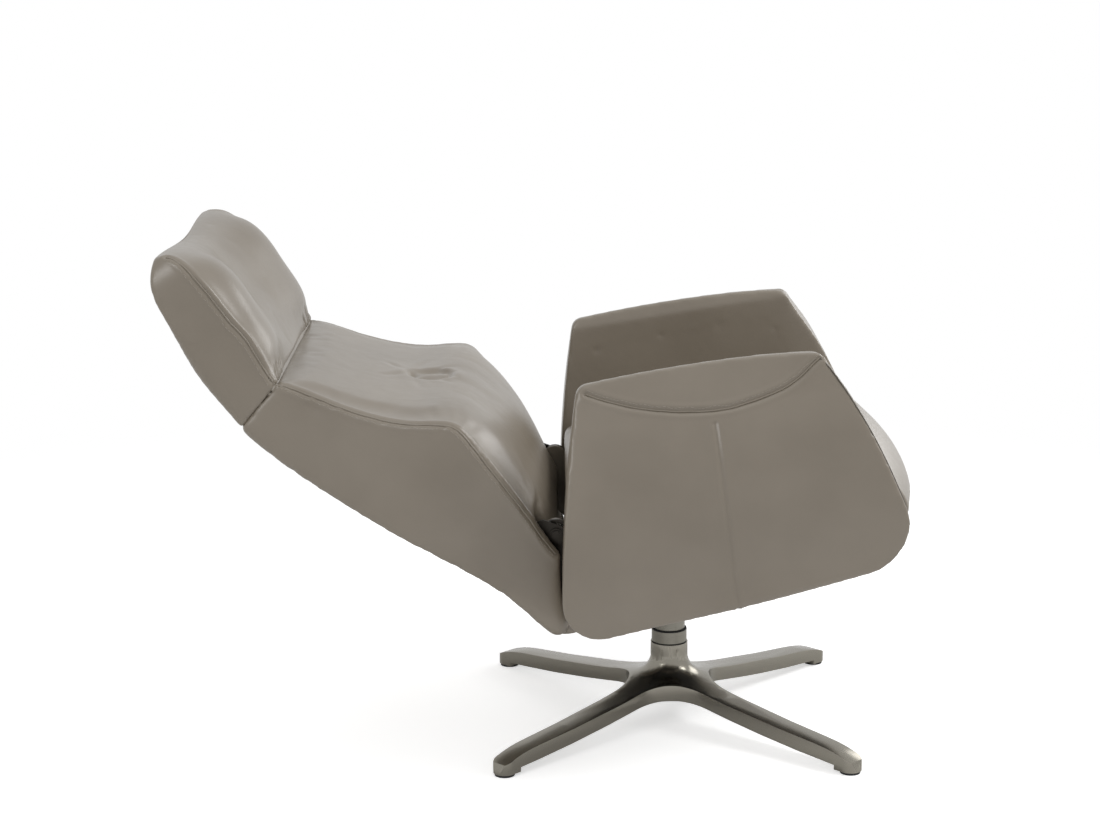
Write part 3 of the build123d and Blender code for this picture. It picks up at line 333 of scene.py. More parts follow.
@dataclass(frozen=True)
class Plywood:
    """Sanded birch plywood: long pale grain lines along the chair."""

    name: str = "birch_plywood"
    pale: str = "#c9ab7e"
    dark: str = "#b08f62"
    ring: float = 6 * MM

    def build(self) -> bpy.types.Material:
        """Makes the wood.

        Returns:
            The material.
        """
        material, shader, place = start_material(self.name)
        tree = material.node_tree
        # Growth lines about 6 mm apart, drawn out ten times along the board
        stretch = add_node(
            tree, "ShaderNodeMapping", values={"Scale": (0.1, 1.0, 1.0)}, links={"Vector": place}
        )
        lines = add_node(
            tree,
            "ShaderNodeTexNoise",
            values={"Scale": 1 / self.ring, "Detail": 4.0, "Distortion": 0.8},
            links={"Vector": stretch.outputs["Vector"]},
        )
        colour = add_ramp(tree, [(0.35, self.dark), (0.65, self.pale)], lines.outputs["Fac"])
        tree.links.new(colour.outputs["Color"], shader.inputs["Base Color"])
        shader.inputs["Roughness"].default_value = 0.6
        return material


# ---------------------------------------------------------------- mesh helpers


def select_only(piece: Piece) -> None:
    """Makes one object the only selected and active one.

    Args:
        piece: The object.
    """
    bpy.ops.object.select_all(action="DESELECT")
    piece.select_set(True)
    bpy.context.view_layer.objects.active = piece


def apply_modifier(piece: Piece, kind: str, **settings: object) -> None:
    """Adds a modifier and applies it at once.

    Args:
        piece: The object that it changes.
        kind: The modifier's type name.
        **settings: The modifier's properties.
    """
    select_only(piece)
    modifier = piece.modifiers.new(kind.lower(), kind)
    for name, value in settings.items():
        setattr(modifier, name, value)
    bpy.ops.object.modifier_apply(modifier=modifier.name)


def points_of(piece: Piece) -> np.ndarray:
    """Reads the places of an object's vertices.

    Args:
        piece: The object.

    Returns:
        One row of three per vertex.
    """
    flat = np.empty(len(piece.data.vertices) * 3, np.float64)
    piece.data.vertices.foreach_get("co", flat)
    return flat.reshape(-1, 3)


def place_points(piece: Piece, points: np.ndarray) -> None:
    """Moves an object's vertices.

    Args:
        piece: The object.
        points: One row of three per vertex.
    """
    piece.data.vertices.foreach_set("co", points.ravel())
    piece.data.update()


def normals_of(piece: Piece) -> np.ndarray:
    """Reads the directions that an object's vertices face.

    Args:
        piece: The object.

    Returns:
        One row of three per vertex.
    """
    flat = np.empty(len(piece.data.vertices) * 3, np.float64)
    piece.data.vertex_normals.foreach_get("vector", flat)
    return flat.reshape(-1, 3)


def smooth_step(values: np.ndarray, low: float, high: float) -> np.ndarray:
    """Eases values from 0 at low to 1 at high.

    Args:
        values: The values.
        low: Where the result starts to rise.
        high: Where it has risen.

    Returns:
        The eased values.
    """
    share = np.clip((values - low) / (high - low), 0, 1)
    return share * share * (3 - 2 * share)


def distance_to(points: np.ndarray, path: np.ndarray) -> tuple[np.ndarray, np.ndarray]:
    """Measures how far points are from a broken line.

    Args:
        points: One row of three per point.
        path: The corners of the line, one row each.

    Returns:
        The distance of each point, and how far along the line its nearest place is, from 0 to 1.
    """
    best = np.full(len(points), np.inf)
    along = np.zeros(len(points))
    spans = np.linalg.norm(np.diff(path, axis=0), axis=1)
    total = spans.sum()
    done = 0.0
    for start, end, span in zip(path, path[1:], spans):
        if span < 1e-9:
            continue
        ray = (end - start) / span
        reach = np.clip((points - start) @ ray, 0, span)
        gap = np.linalg.norm(points - start - reach[:, None] * ray, axis=1)
        nearer = gap < best
        best[nearer] = gap[nearer]
        along[nearer] = ((done + reach) / total)[nearer]
        done += span
    return best, along


def resample(path: np.ndarray, step: float, rounds: int = 2) -> np.ndarray:
    """Spaces a broken line evenly and rounds its corners.

    Args:
        path: The corners of the line.
        step: The spacing wanted.
        rounds: How often neighbours are averaged.

    Returns:
        The even line.
    """
    spans = np.linalg.norm(np.diff(path, axis=0), axis=1)
    marks = np.concatenate([[0], np.cumsum(spans)])
    count = max(int(marks[-1] / step), 2)
    even = np.linspace(0, marks[-1], count + 1)
    line = np.stack([np.interp(even, marks, path[:, i]) for i in range(3)], axis=1)
    for _ in range(rounds):
        line[1:-1] = (line[:-2] + 2 * line[1:-1] + line[2:]) / 4
    return line


def surface_of(piece: Piece) -> BVHTree:
    """Prepares an object's surface for nearest-point searches.

    Args:
        piece: The object.

    Returns:
        The search tree.
    """
    polygons = [tuple(p.vertices) for p in piece.data.polygons]
    return BVHTree.FromPolygons([v.co for v in piece.data.vertices], polygons)


def lay_on(surface: BVHTree, path: np.ndarray, lift: float) -> np.ndarray:
    """Lays a line on a surface.

    Args:
        surface: The surface.
        path: The line, one row per point.
        lift: How far it stands off the surface.

    Returns:
        The laid line.
    """
    laid = []
    for point in path:
        spot, normal, _, _ = surface.find_nearest(Vector(point))
        laid.append(np.array(spot + normal * lift))
    return np.array(laid)


def merged_copy(nodes: dict[str, Piece], names: list[str], name: str) -> Piece:
    """Joins copies of CAD meshes into one new object.

    Args:
        nodes: The CAD nodes by name.
        names: The nodes to copy.
        name: The new object's name.

    Returns:
        The new object, with doubled vertices merged.
    """
    copies = []
    for source in names:
        copy = bpy.data.objects.new(source + "_copy", nodes[source].data.copy())
        bpy.context.scene.collection.objects.link(copy)
        copies.append(copy)
    bpy.ops.object.select_all(action="DESELECT")
    for copy in copies:
        copy.select_set(True)
    bpy.context.view_layer.objects.active = copies[0]
    bpy.ops.object.join()
    piece = copies[0]
    piece.name = name
    piece.data.name = name
    piece.data.materials.clear()
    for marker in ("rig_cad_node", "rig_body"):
        if marker in piece:
            del piece[marker]
    bpy.ops.object.mode_set(mode="EDIT")
    bpy.ops.mesh.select_all(action="SELECT")
    bpy.ops.mesh.remove_doubles(threshold=0.01 * MM)
    bpy.ops.mesh.normals_make_consistent(inside=False)
    bpy.ops.object.mode_set(mode="OBJECT")
    return piece


def keep_largest(piece: Piece) -> None:
    """Drops every loose part of a mesh but the largest, such as the skin of an inner hollow.

    Args:
        piece: The object.
    """
    count = len(piece.data.vertices)
    edges = np.empty(len(piece.data.edges) * 2, np.int64)
    piece.data.edges.foreach_get("vertices", edges)
    edges = edges.reshape(-1, 2)
    label = np.arange(count)
    while True:
        low = np.minimum(label[edges[:, 0]], label[edges[:, 1]])
        fresh = label.copy()
        np.minimum.at(fresh, edges[:, 0], low)
        np.minimum.at(fresh, edges[:, 1], low)
        fresh = fresh[fresh]
        if np.array_equal(fresh, label):
            break
        label = fresh
    names, sizes = np.unique(label, return_counts=True)
    keep = label == names[sizes.argmax()]
    if keep.all():
        return
    select_only(piece)
    bpy.ops.object.mode_set(mode="EDIT")
    bpy.ops.mesh.select_mode(type="VERT")
    bpy.ops.mesh.select_all(action="DESELECT")
    bpy.ops.object.mode_set(mode="OBJECT")
    piece.data.vertices.foreach_set("select", ~keep)
    bpy.ops.object.mode_set(mode="EDIT")
    bpy.ops.mesh.delete(type="VERT")
    bpy.ops.object.mode_set(mode="OBJECT")


def finish_piece(piece: Piece, material: bpy.types.Material, body: str) -> Piece:
    """Gives a finished piece its material, smooth shading and body.

    Args:
        piece: The object.
        material: Its material.
        body: The CAD body that it moves with.

    Returns:
        The same object.
    """
    piece.data.materials.clear()
    piece.data.materials.append(material)
    piece.data.shade_smooth()
    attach(piece, body)
    return piece


def tube(name: str, lines: list[np.ndarray], radius: float) -> Piece:
    """Makes round cord along lines, as one mesh.

    Args:
        name: The object's name.
        lines: The centre lines.
        radius: The cord's radius.

    Returns:
        The mesh object.
    """
    curve = bpy.data.curves.new(name, "CURVE")
    curve.dimensions = "3D"
    curve.bevel_depth = radius
    curve.bevel_resolution = 2
    curve.use_fill_caps = True
    for line in lines:
        spline = curve.splines.new("POLY")
        spline.points.add(len(line) - 1)
        spline.points.foreach_set("co", np.column_stack([line, np.ones(len(line))]).ravel())
    piece = bpy.data.objects.new(name, curve)
    bpy.context.scene.collection.objects.link(piece)
    select_only(piece)
    bpy.ops.object.convert(target="MESH")
    return bpy.context.view_layer.objects.active


# ---------------------------------------------------------------- frames and padding


@dataclass(frozen=True)
class Slant:
    """The leaning side-view frame of a unit: up along it, out to the sitter's side, in mm."""

    x: float
    z: float
    lean: float
    hand: float = 1.0

    def axes(self) -> tuple[np.ndarray, np.ndarray]:
        """Gives the directions of the frame.

        Returns:
            The up and the out direction in the chair's frame.
        """
        lean = math.radians(self.lean)
        up = np.array([-math.cos(lean) * self.hand, 0, math.sin(lean)])
        out = np.array([math.sin(lean) * self.hand, 0, math.cos(lean)])
        return up, out

    def place(self, up: float, across: float, out: float) -> np.ndarray:
        """Turns a place in this frame into the chair's frame.

        Args:
            up: Along the unit, in mm.
            across: Across the chair, in mm.
            out: Towards the sitter, in mm.

        Returns:
            The place in metres.
        """
        along, front = self.axes()
        spot = np.array([self.x, across * MM, self.z])
        return spot + along * up * MM + front * out * MM

    def line(self, line: Line, across: float) -> np.ndarray:
        """Turns a side-view line into the chair's frame.

        Args:
            line: Up and out of each point, in mm.
            across: Its place across the chair, in mm.

        Returns:
            The line, one row per point.
        """
        return np.array([self.place(up, across, out) for up, out in line])


SEAT = Slant(0.195, 0.324, 9.0, -1.0)
BACK = Slant(0.018587, 0.363894, 32.5)
HEAD = Slant(-0.421028, 0.533691, 58.0)


@dataclass(frozen=True)
class Filling:
    """How a unit is filled: skin mesh, air pressure and the largest swell allowed."""

    skin: float = 5 * MM
    rounding: int = 8
    pressure: float = 4.0
    slack: float = 1.5 * MM
    cap: float = 22 * MM
    frames: int = 20


@dataclass
class Unit:
    """An upholstered unit: its skin and the forms pressed and raised in it."""

    name: str
    body: str
    nodes: list[str]
    frame: Slant
    filling: Filling
    piece: Piece = field(init=False)

    def skin_over(self, cad: dict[str, Piece], extra: list[str], core: Line | None = None) -> None:
        """Lays a closed skin over the unit's CAD solids.

        Args:
            cad: The CAD nodes by name.
            extra: Further nodes that only fill the inside.
            core: Side outline of foam that fills a hollow unit, up and out in mm.
        """
        self.piece = merged_copy(cad, self.nodes + extra, self.name)
        if core is not None:
            self.fill_with(core, 251)
        self.piece.data.remesh_voxel_size = self.filling.skin
        select_only(self.piece)
        bpy.ops.object.voxel_remesh()
        keep_largest(self.piece)
        apply_modifier(self.piece, "SMOOTH", factor=0.5, iterations=self.filling.rounding)

    def fill_with(self, outline: Line, half_width: float) -> None:
        """Adds a foam core inside the unit, so that only its outer skin is kept.

        Args:
            outline: Side outline of the core, up and out in mm.
            half_width: Half its width in mm.
        """
        count = len(outline)
        sides = [self.frame.line(outline, across) for across in (-half_width, half_width)]
        walls = [(i, (i + 1) % count, (i + 1) % count + count, i + count) for i in range(count)]
        ends = [tuple(range(count)), tuple(range(2 * count - 1, count - 1, -1))]
        mesh = bpy.data.meshes.new("core")
        mesh.from_pydata(np.concatenate(sides).tolist(), [], walls + ends)
        core = bpy.data.objects.new("core", mesh)
        bpy.context.scene.collection.objects.link(core)
        select_only(core)
        bpy.ops.object.mode_set(mode="EDIT")
        bpy.ops.mesh.select_all(action="SELECT")
        bpy.ops.mesh.normals_make_consistent(inside=False)
        bpy.ops.object.mode_set(mode="OBJECT")
        self.piece.select_set(True)
        bpy.context.view_layer.objects.active = self.piece
        bpy.ops.object.join()

    def swell(self, mask: np.ndarray) -> None:
        """Fills the skin with the cloth solver under air pressure.

        Args:
            mask: How much of the swell each vertex takes, from 0 to 1.
        """
        rest = points_of(self.piece)
        place_points(self.piece, rest - normals_of(self.piece) * self.filling.slack)
        select_only(self.piece)
        modifier = self.piece.modifiers.new("filling", "CLOTH")
        cloth = modifier.settings
        cloth.quality = 4
        cloth.mass = 0.4
        cloth.tension_stiffness = 40
        cloth.compression_stiffness = 40
        cloth.shear_stiffness = 20
        cloth.bending_stiffness = 4
        cloth.use_pressure = True
        cloth.uniform_pressure_force = self.filling.pressure
        cloth.effector_weights.gravity = 0
        modifier.collision_settings.use_collision = False
        modifier.point_cache.frame_start = 1
        modifier.point_cache.frame_end = self.filling.frames
        for step in range(1, self.filling.frames + 1):
            bpy.context.scene.frame_set(step)
        bpy.ops.object.modifier_apply(modifier=modifier.name)
        bpy.context.scene.frame_set(1)
        move = points_of(self.piece) - rest
        length = np.linalg.norm(move, axis=1)
        LOG.info("%s swells by %.1f mm at most", self.name, length.max() / MM)
        move *= np.minimum(1, self.filling.cap / np.maximum(length, 1e-9))[:, None]
        place_points(self.piece, rest + move * mask[:, None])

    def subdivide(self) -> None:
        """Halves the skin mesh so that seams and creases can be pressed into it."""
        apply_modifier(self.piece, "SUBSURF", levels=1, render_levels=1)

    def press(
        self,
        path: np.ndarray,
        depth: float,
        width: float,
        rim: float = 0.0,
        fade: bool = False,
    ) -> None:
        """Presses a furrow into the skin along a line, with raised rims beside it.

        Args:
            path: The line, near the skin.
            depth: Depth in metres.
            width: Half width of the furrow in metres.
            rim: Height of the rims in metres.
            fade: Whether the furrow runs out at both ends.
        """
        points = points_of(self.piece)
        low = path.min(0) - 5 * width
        high = path.max(0) + 5 * width
        near = np.where(np.all((points > low) & (points < high), axis=1))[0]
        if not len(near):
            return
        gap, along = distance_to(points[near], path)
        profile = -depth * np.exp(-((gap / width) ** 2))
        profile += rim * np.exp(-(((gap - 2.2 * width) / width) ** 2))
        if fade:
            profile *= np.sin(np.pi * np.clip(along, 0.02, 0.98)) ** 0.7
        points[near] += normals_of(self.piece)[near] * profile[:, None]
        place_points(self.piece, points)

    def raise_at(self, spot: np.ndarray, height: float, radius: tuple[float, float, float]) -> None:
        """Raises, or with a negative height sinks, a soft rounded area.

        Args:
            spot: The middle in the chair's frame.
            height: Height in metres, along the skin's own direction.
            radius: Reach up the unit, across it and through it, in metres.
        """
        points = points_of(self.piece)
        along, out = self.frame.axes()
        gap = points - spot
        scaled = ((gap @ along) / radius[0]) ** 2
        scaled += (gap[:, 1] / radius[1]) ** 2
        scaled += ((gap @ out) / radius[2]) ** 2
        profile = height * np.exp(-scaled)
        place_points(self.piece, points + normals_of(self.piece) * profile[:, None])

    def shift_at(
        self, spot: np.ndarray, move: np.ndarray, radius: tuple[float, float, float]
    ) -> None:
        """Shifts a soft rounded area bodily, which keeps sharp corners whole.

        Args:
            spot: The middle in the chair's frame.
            move: The shift in metres.
            radius: Reach up the unit, across it and through it, in metres.
        """
        points = points_of(self.piece)
        along, out = self.frame.axes()
        gap = points - spot
        scaled = ((gap @ along) / radius[0]) ** 2
        scaled += (gap[:, 1] / radius[1]) ** 2
        scaled += ((gap @ out) / radius[2]) ** 2
        place_points(self.piece, points + move * np.exp(-scaled)[:, None])

    def ease_at(self, spot: np.ndarray, radius: float) -> None:
        """Smooths a small area, where the foam's bores show through.

        Args:
            spot: The middle in the chair's frame.
            radius: The area's radius in metres.
        """
        group = self.piece.vertex_groups.new(name="eased")
        gap = np.linalg.norm(points_of(self.piece) - spot, axis=1)
        group.add(np.where(gap < radius)[0].tolist(), 1.0, "REPLACE")
        apply_modifier(self.piece, "SMOOTH", factor=0.5, iterations=30, vertex_group="eased")
        self.piece.vertex_groups.clear()

    def edge_line(self, line: Line, side: Side, inset: float) -> np.ndarray:
        """Finds the unit's side edge along a side-view line.

        Args:
            line: The edge seen from the side, up and out in mm.
            side: Which side of the chair.
            inset: How far behind the edge the side panel is measured, in mm.

        Returns:
            The edge in the chair's frame, evenly spaced on the skin.
        """
        surface = surface_of(self.piece)
        found = []
        for up, out in line:
            start = self.frame.place(up, side.value * 450, out - inset)
            hit, _, _, _ = surface.ray_cast(Vector(start), Vector((0, -side.value, 0)))
            if hit is not None:
                spot = self.frame.place(up, 0, out)
                found.append([spot[0], hit.y - side.value * 2 * MM, spot[2]])
        path = resample(np.array(found), 4 * MM)
        return lay_on(surface, path, 0)

    def finish(self, leather: bpy.types.Material, fill: float) -> Piece:
        """Args:
            leather: Its material.
            fill: How tightly it is filled, from 0 to 1; not used.

        Returns:
            The finished piece.
        """
        finish_piece(self.piece, leather, self.body)
        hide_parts(*self.nodes)
        LOG.info("%s has %d faces", self.name, len(self.piece.data.polygons))
        return self.piece


def welt(
    unit: Unit, name: str, path: np.ndarray, leather: bpy.types.Material, radius: float = 1.5 * MM
) -> Piece:
    """Sews a piped welt into a unit: a furrow with a cord in it.

    Args:
        unit: The unit.
        name: The cord's name.
        path: The seam line on the skin.
        leather: The cord's cover.
        radius: The cord's radius.

    Returns:
        The cord.
    """
    unit.press(path, 2.4 * MM, 3.6 * MM, 0.9 * MM)
    line = resample(lay_on(surface_of(unit.piece), path, 0.3 * MM), 4 * MM, 3)
    cord = tube(name, [line], radius)
    return finish_piece(cord, leather, unit.body)


def stitches(
    unit: Unit,
    name: str,
    path: np.ndarray,
    offset: float,
    thread: bpy.types.Material,
    pitch: float = 5.5 * MM,
) -> Piece:
    """Sews a row of stitches beside a seam.

    Args:
        unit: The unit.
        name: The row's name.
        path: The seam line on the skin.
        offset: Distance from the seam, to one side or with a minus sign the other.
        thread: The thread's material.
        pitch: Distance from stitch to stitch.

    Returns:
        The row.
    """
    surface = surface_of(unit.piece)
    line = resample(path, pitch)
    spots, normals = [], []
    for point in line:
        spot, normal, _, _ = surface.find_nearest(Vector(point))
        spots.append(np.array(spot))
        normals.append(np.array(normal))
    runs = []
    for spot, after, normal in zip(spots, spots[1:], normals):
        ahead = after - spot
        beside = np.cross(normal, ahead / np.linalg.norm(ahead)) * offset
        run = np.array([spot + beside + ahead * share for share in (0.12, 0.5, 0.88)])
        run = lay_on(surface, run, 0.05 * MM)
        run[[0, 2]] = lay_on(surface, run[[0, 2]], -0.35 * MM)
        runs.append(run)
    row = tube(name, runs, 0.42 * MM)
    return finish_piece(row, thread, unit.body)


# ---------------------------------------------------------------- the chair


@dataclass
class Headrest:
    """The headrest, folded forward: raised wings, a sunk middle and a welt round its front."""

    side_line: Line = field(
        default_factory=lambda: [
            (260, 37), (246, 49), (236, 52), (217, 55), (186, 59), (158, 61),
            (131, 63), (105, 68), (64, 66), (37, 65), (24, 66), (12, 62),
        ]
    )

    def build(self, cad: dict[str, Piece], leather: bpy.types.Material, thread: bpy.types.Material) -> None:
        """Builds the headrest.

        Args:
            cad: The CAD nodes by name.
            leather: Its material.
            thread: The material of its stitches.
        """
        unit = Unit(
            "headrest_unit",
            "headrest",
            ["headrest_cushion", "headrest_shell"],
            HEAD,
            Filling(skin=4.8 * MM, rounding=5),
        )
        unit.skin_over(cad, ["headrest_board"])
        _, out = HEAD.axes()
        unit.swell(0.35 * smooth_step(normals_of(unit.piece) @ out, 0.2, 0.8))
        unit.subdivide()
        # The rear is rounded out, the top dips between the wings, and the wings stand proud
        unit.raise_at(unit.frame.place(95, 0, -9), 9 * MM, (85 * MM, 900 * MM, 50 * MM))
        unit.raise_at(unit.frame.place(150, 0, -110), 10 * MM, (150 * MM, 900 * MM, 70 * MM))
        unit.raise_at(unit.frame.place(262, 0, 30), -9 * MM, (45 * MM, 140 * MM, 70 * MM))
        for side in Side:
            wing = unit.frame.place(150, side.value * 195, 72)
            unit.raise_at(wing, 6 * MM, (90 * MM, 60 * MM, 50 * MM))
        edges = {side: unit.edge_line(self.side_line, side, 12) for side in Side}
        for side in Side:
            self.crease_tucks(unit, side)
            label = side.name.lower()
            welt(unit, f"headrest_welt_{label}", edges[side], leather)
            row = stitches(unit, f"headrest_stitches_{label}", edges[side], side.value * 8 * MM, thread)
            LOG.info("%s stands at %s", row.name, row.dimensions)
        unit.finish(leather, 0.75)

    def crease_tucks(self, unit: Unit, side: Side) -> None:
        """Gathers the hide into short tucks above the crease at one side.

        Args:
            unit: The headrest.
            side: Which side of the chair.
        """
        for number, (foot, across, reach) in enumerate(
            [(14, 246, 30), (12, 236, 44), (12, 224, 36), (12, 208, 52), (12, 186, 40)]
        ):
            drift = 8 + 5 * number
            path = np.array(
                [
                    unit.frame.place(foot, side.value * across, 66),
                    unit.frame.place(foot + reach / 2, side.value * (across - drift / 3), 70),
                    unit.frame.place(foot + reach, side.value * (across - drift), 72),
                ]
            )
            laid = lay_on(surface_of(unit.piece), resample(path, 4 * MM), 0)
            unit.press(laid, 2.2 * MM, 3.4 * MM, 0.9 * MM, fade=True)


@dataclass
class Back:
    """The back: wings at mid height, a tufted front and a rounded tub behind."""

    core: Line = field(
        default_factory=lambda: [
            (60, 7), (71, 11), (139, 38), (183, 56), (203, 63), (219, 62), (232, 56), (250, 44),
            (280, 26), (306, 15), (333, 5), (376, -6), (441, -20), (441, -96), (358, -106),
            (195, -104), (60, -102),
        ]
    )
    side_line: Line = field(
        default_factory=lambda: [
            (456, -20), (433, -13), (376, 0), (333, 11), (306, 21), (280, 32), (250, 50),
            (232, 62), (219, 68), (203, 69), (183, 62), (139, 44), (71, 17), (15, -6), (-12, -16),
        ]
    )

    def build(self, cad: dict[str, Piece], leather: bpy.types.Material, thread: bpy.types.Material) -> None:
        """Builds the back.

        Args:
            cad: The CAD nodes by name.
            leather: Its material.
            thread: The material of its stitches.
        """
        unit = Unit(
            "back_unit", "back", ["back_cushion", "back_shell"], BACK, Filling(skin=7.4 * MM, rounding=5)
        )
        unit.skin_over(cad, [], self.core)
        _, out = BACK.axes()
        facing = normals_of(unit.piece) @ out
        inner = 1 - smooth_step(np.abs(points_of(unit.piece)[:, 1]), 0.22, 0.28)
        unit.swell(0.3 * smooth_step(facing, 0.3, 0.8) * inner)
        unit.subdivide()
        # The lower front is full between the wings and the seat, and the rear ends in a round roll
        unit.raise_at(unit.frame.place(125, 0, 60), 9 * MM, (75 * MM, 230 * MM, 70 * MM))
        unit.raise_at(unit.frame.place(-62, 0, -114), 10 * MM, (55 * MM, 900 * MM, 40 * MM))
        unit.raise_at(unit.frame.place(-84, 0, -104), 5 * MM, (26 * MM, 900 * MM, 30 * MM))
        unit.raise_at(unit.frame.place(430, 0, -110), 6 * MM, (130 * MM, 900 * MM, 60 * MM))
        for side in Side:
            shoulder = unit.frame.place(165, side.value * 215, 60)
            unit.raise_at(shoulder, 8 * MM, (65 * MM, 90 * MM, 60 * MM))
        for side in Side:
            unit.ease_at(unit.frame.place(302, side.value * 291, 3), 16 * MM)
        edges = {side: unit.edge_line(self.side_line, side, 14) for side in Side}
        self.tuft(unit)
        for side in Side:
            self.wing_tucks(unit, side)
            label = side.name.lower()
            welt(unit, f"back_welt_{label}", edges[side], leather)
            stitches(unit, f"back_stitches_{label}", edges[side], side.value * 7 * MM, thread)
        unit.finish(leather, 0.7)

    def tuft(self, unit: Unit) -> None:
        """Draws the front in at the tuft, with folds running from it.

        Args:
            unit: The back.
        """
        spot = unit.frame.place(283, 0, 34)
        # The round hollow of the foam is bridged by the hide, which is pinched in its middle
        unit.raise_at(spot, 6 * MM, (24 * MM, 24 * MM, 60 * MM))
        unit.raise_at(unit.frame.place(254, 0, 44), 6 * MM, (20 * MM, 24 * MM, 60 * MM))
        unit.raise_at(unit.frame.place(235, 0, 56), 5 * MM, (14 * MM, 22 * MM, 60 * MM))
        unit.raise_at(spot, -6 * MM, (8 * MM, 11 * MM, 60 * MM))
        surface = surface_of(unit.piece)
        ups, outs = zip(*self.core[:13])
        for rise, across in [(-20, 105), (-20, -105), (40, 52), (40, -52), (-58, 64), (-58, -64)]:
            path = np.array(
                [
                    unit.frame.place(283 + rise * t, across * t, np.interp(283 + rise * t, ups, outs) + 8)
                    for t in (0.3, 0.55, 0.8, 1.0)
                ]
            )
            unit.press(lay_on(surface, path, 0), 1.0 * MM, 6 * MM, 0.5 * MM, fade=True)

    def wing_tucks(self, unit: Unit, side: Side) -> None:
        """Gathers the hide into short tucks at the wing corner.

        Args:
            unit: The back.
            side: Which side of the chair.
        """
        surface = surface_of(unit.piece)
        for up, length, turn in [(240, 74, 22), (226, 96, 10), (212, 88, -2), (196, 66, -14)]:
            path = np.array(
                [
                    unit.frame.place(up + turn * t, side.value * (303 - length * t), 74)
                    for t in (0, 0.35, 0.7, 1)
                ]
            )
            unit.press(lay_on(surface, path, 0), 0.8 * MM, 6 * MM, 0.5 * MM, fade=True)


@dataclass
class Neck:
    """The hide that bridges the crease between back and headrest."""

    crease: tuple[float, float] = (-0.376, 0.591)
    reach: float = 17 * MM
    inset: float = 0.5 * MM
    crease_inset: float = 3.5 * MM
    thickness: float = 1.2 * MM

    def build(self, cad: dict[str, Piece], leather: bpy.types.Material) -> None:
        """Builds the strip from the skin over both units where they meet.

        Args:
            cad: The CAD nodes by name.
            leather: Its material.
        """
        nodes = ["back_cushion", "back_shell", "headrest_cushion", "headrest_shell"]
        whole = Unit("neck_skin", "back", nodes, HEAD, Filling(skin=5 * MM, rounding=4))
        whole.skin_over(cad, [])
        piece = whole.piece
        fold = Vector((HEAD.x, 0, HEAD.z))
        rise = (Vector((self.crease[0], 0, self.crease[1])) - fold).normalized()
        across = Vector((-rise.z, 0, rise.x))
        points = points_of(piece)
        away = np.abs((points - np.array(fold)) @ np.array(across)) > self.reach
        # It lies deep in the front crease and close under the skin at the sides
        normals = normals_of(piece)
        facing = smooth_step(normals @ HEAD.axes()[1], 0.1, 0.4)
        inset = self.inset + (self.crease_inset - self.inset) * facing
        place_points(piece, points - normals * inset[:, None])
        select_only(piece)
        bpy.ops.object.mode_set(mode="EDIT")
        bpy.ops.mesh.select_mode(type="VERT")
        bpy.ops.mesh.select_all(action="DESELECT")
        bpy.ops.object.mode_set(mode="OBJECT")
        piece.data.vertices.foreach_set("select", away)
        bpy.ops.object.mode_set(mode="EDIT")
        bpy.ops.mesh.delete(type="VERT")
        bpy.ops.object.mode_set(mode="OBJECT")
        keep_largest(piece)
        apply_modifier(piece, "SOLIDIFY", thickness=self.thickness, offset=-1.0)
        piece.data.materials.clear()
        piece.data.materials.append(leather)
        piece.data.shade_smooth()
        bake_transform(piece)


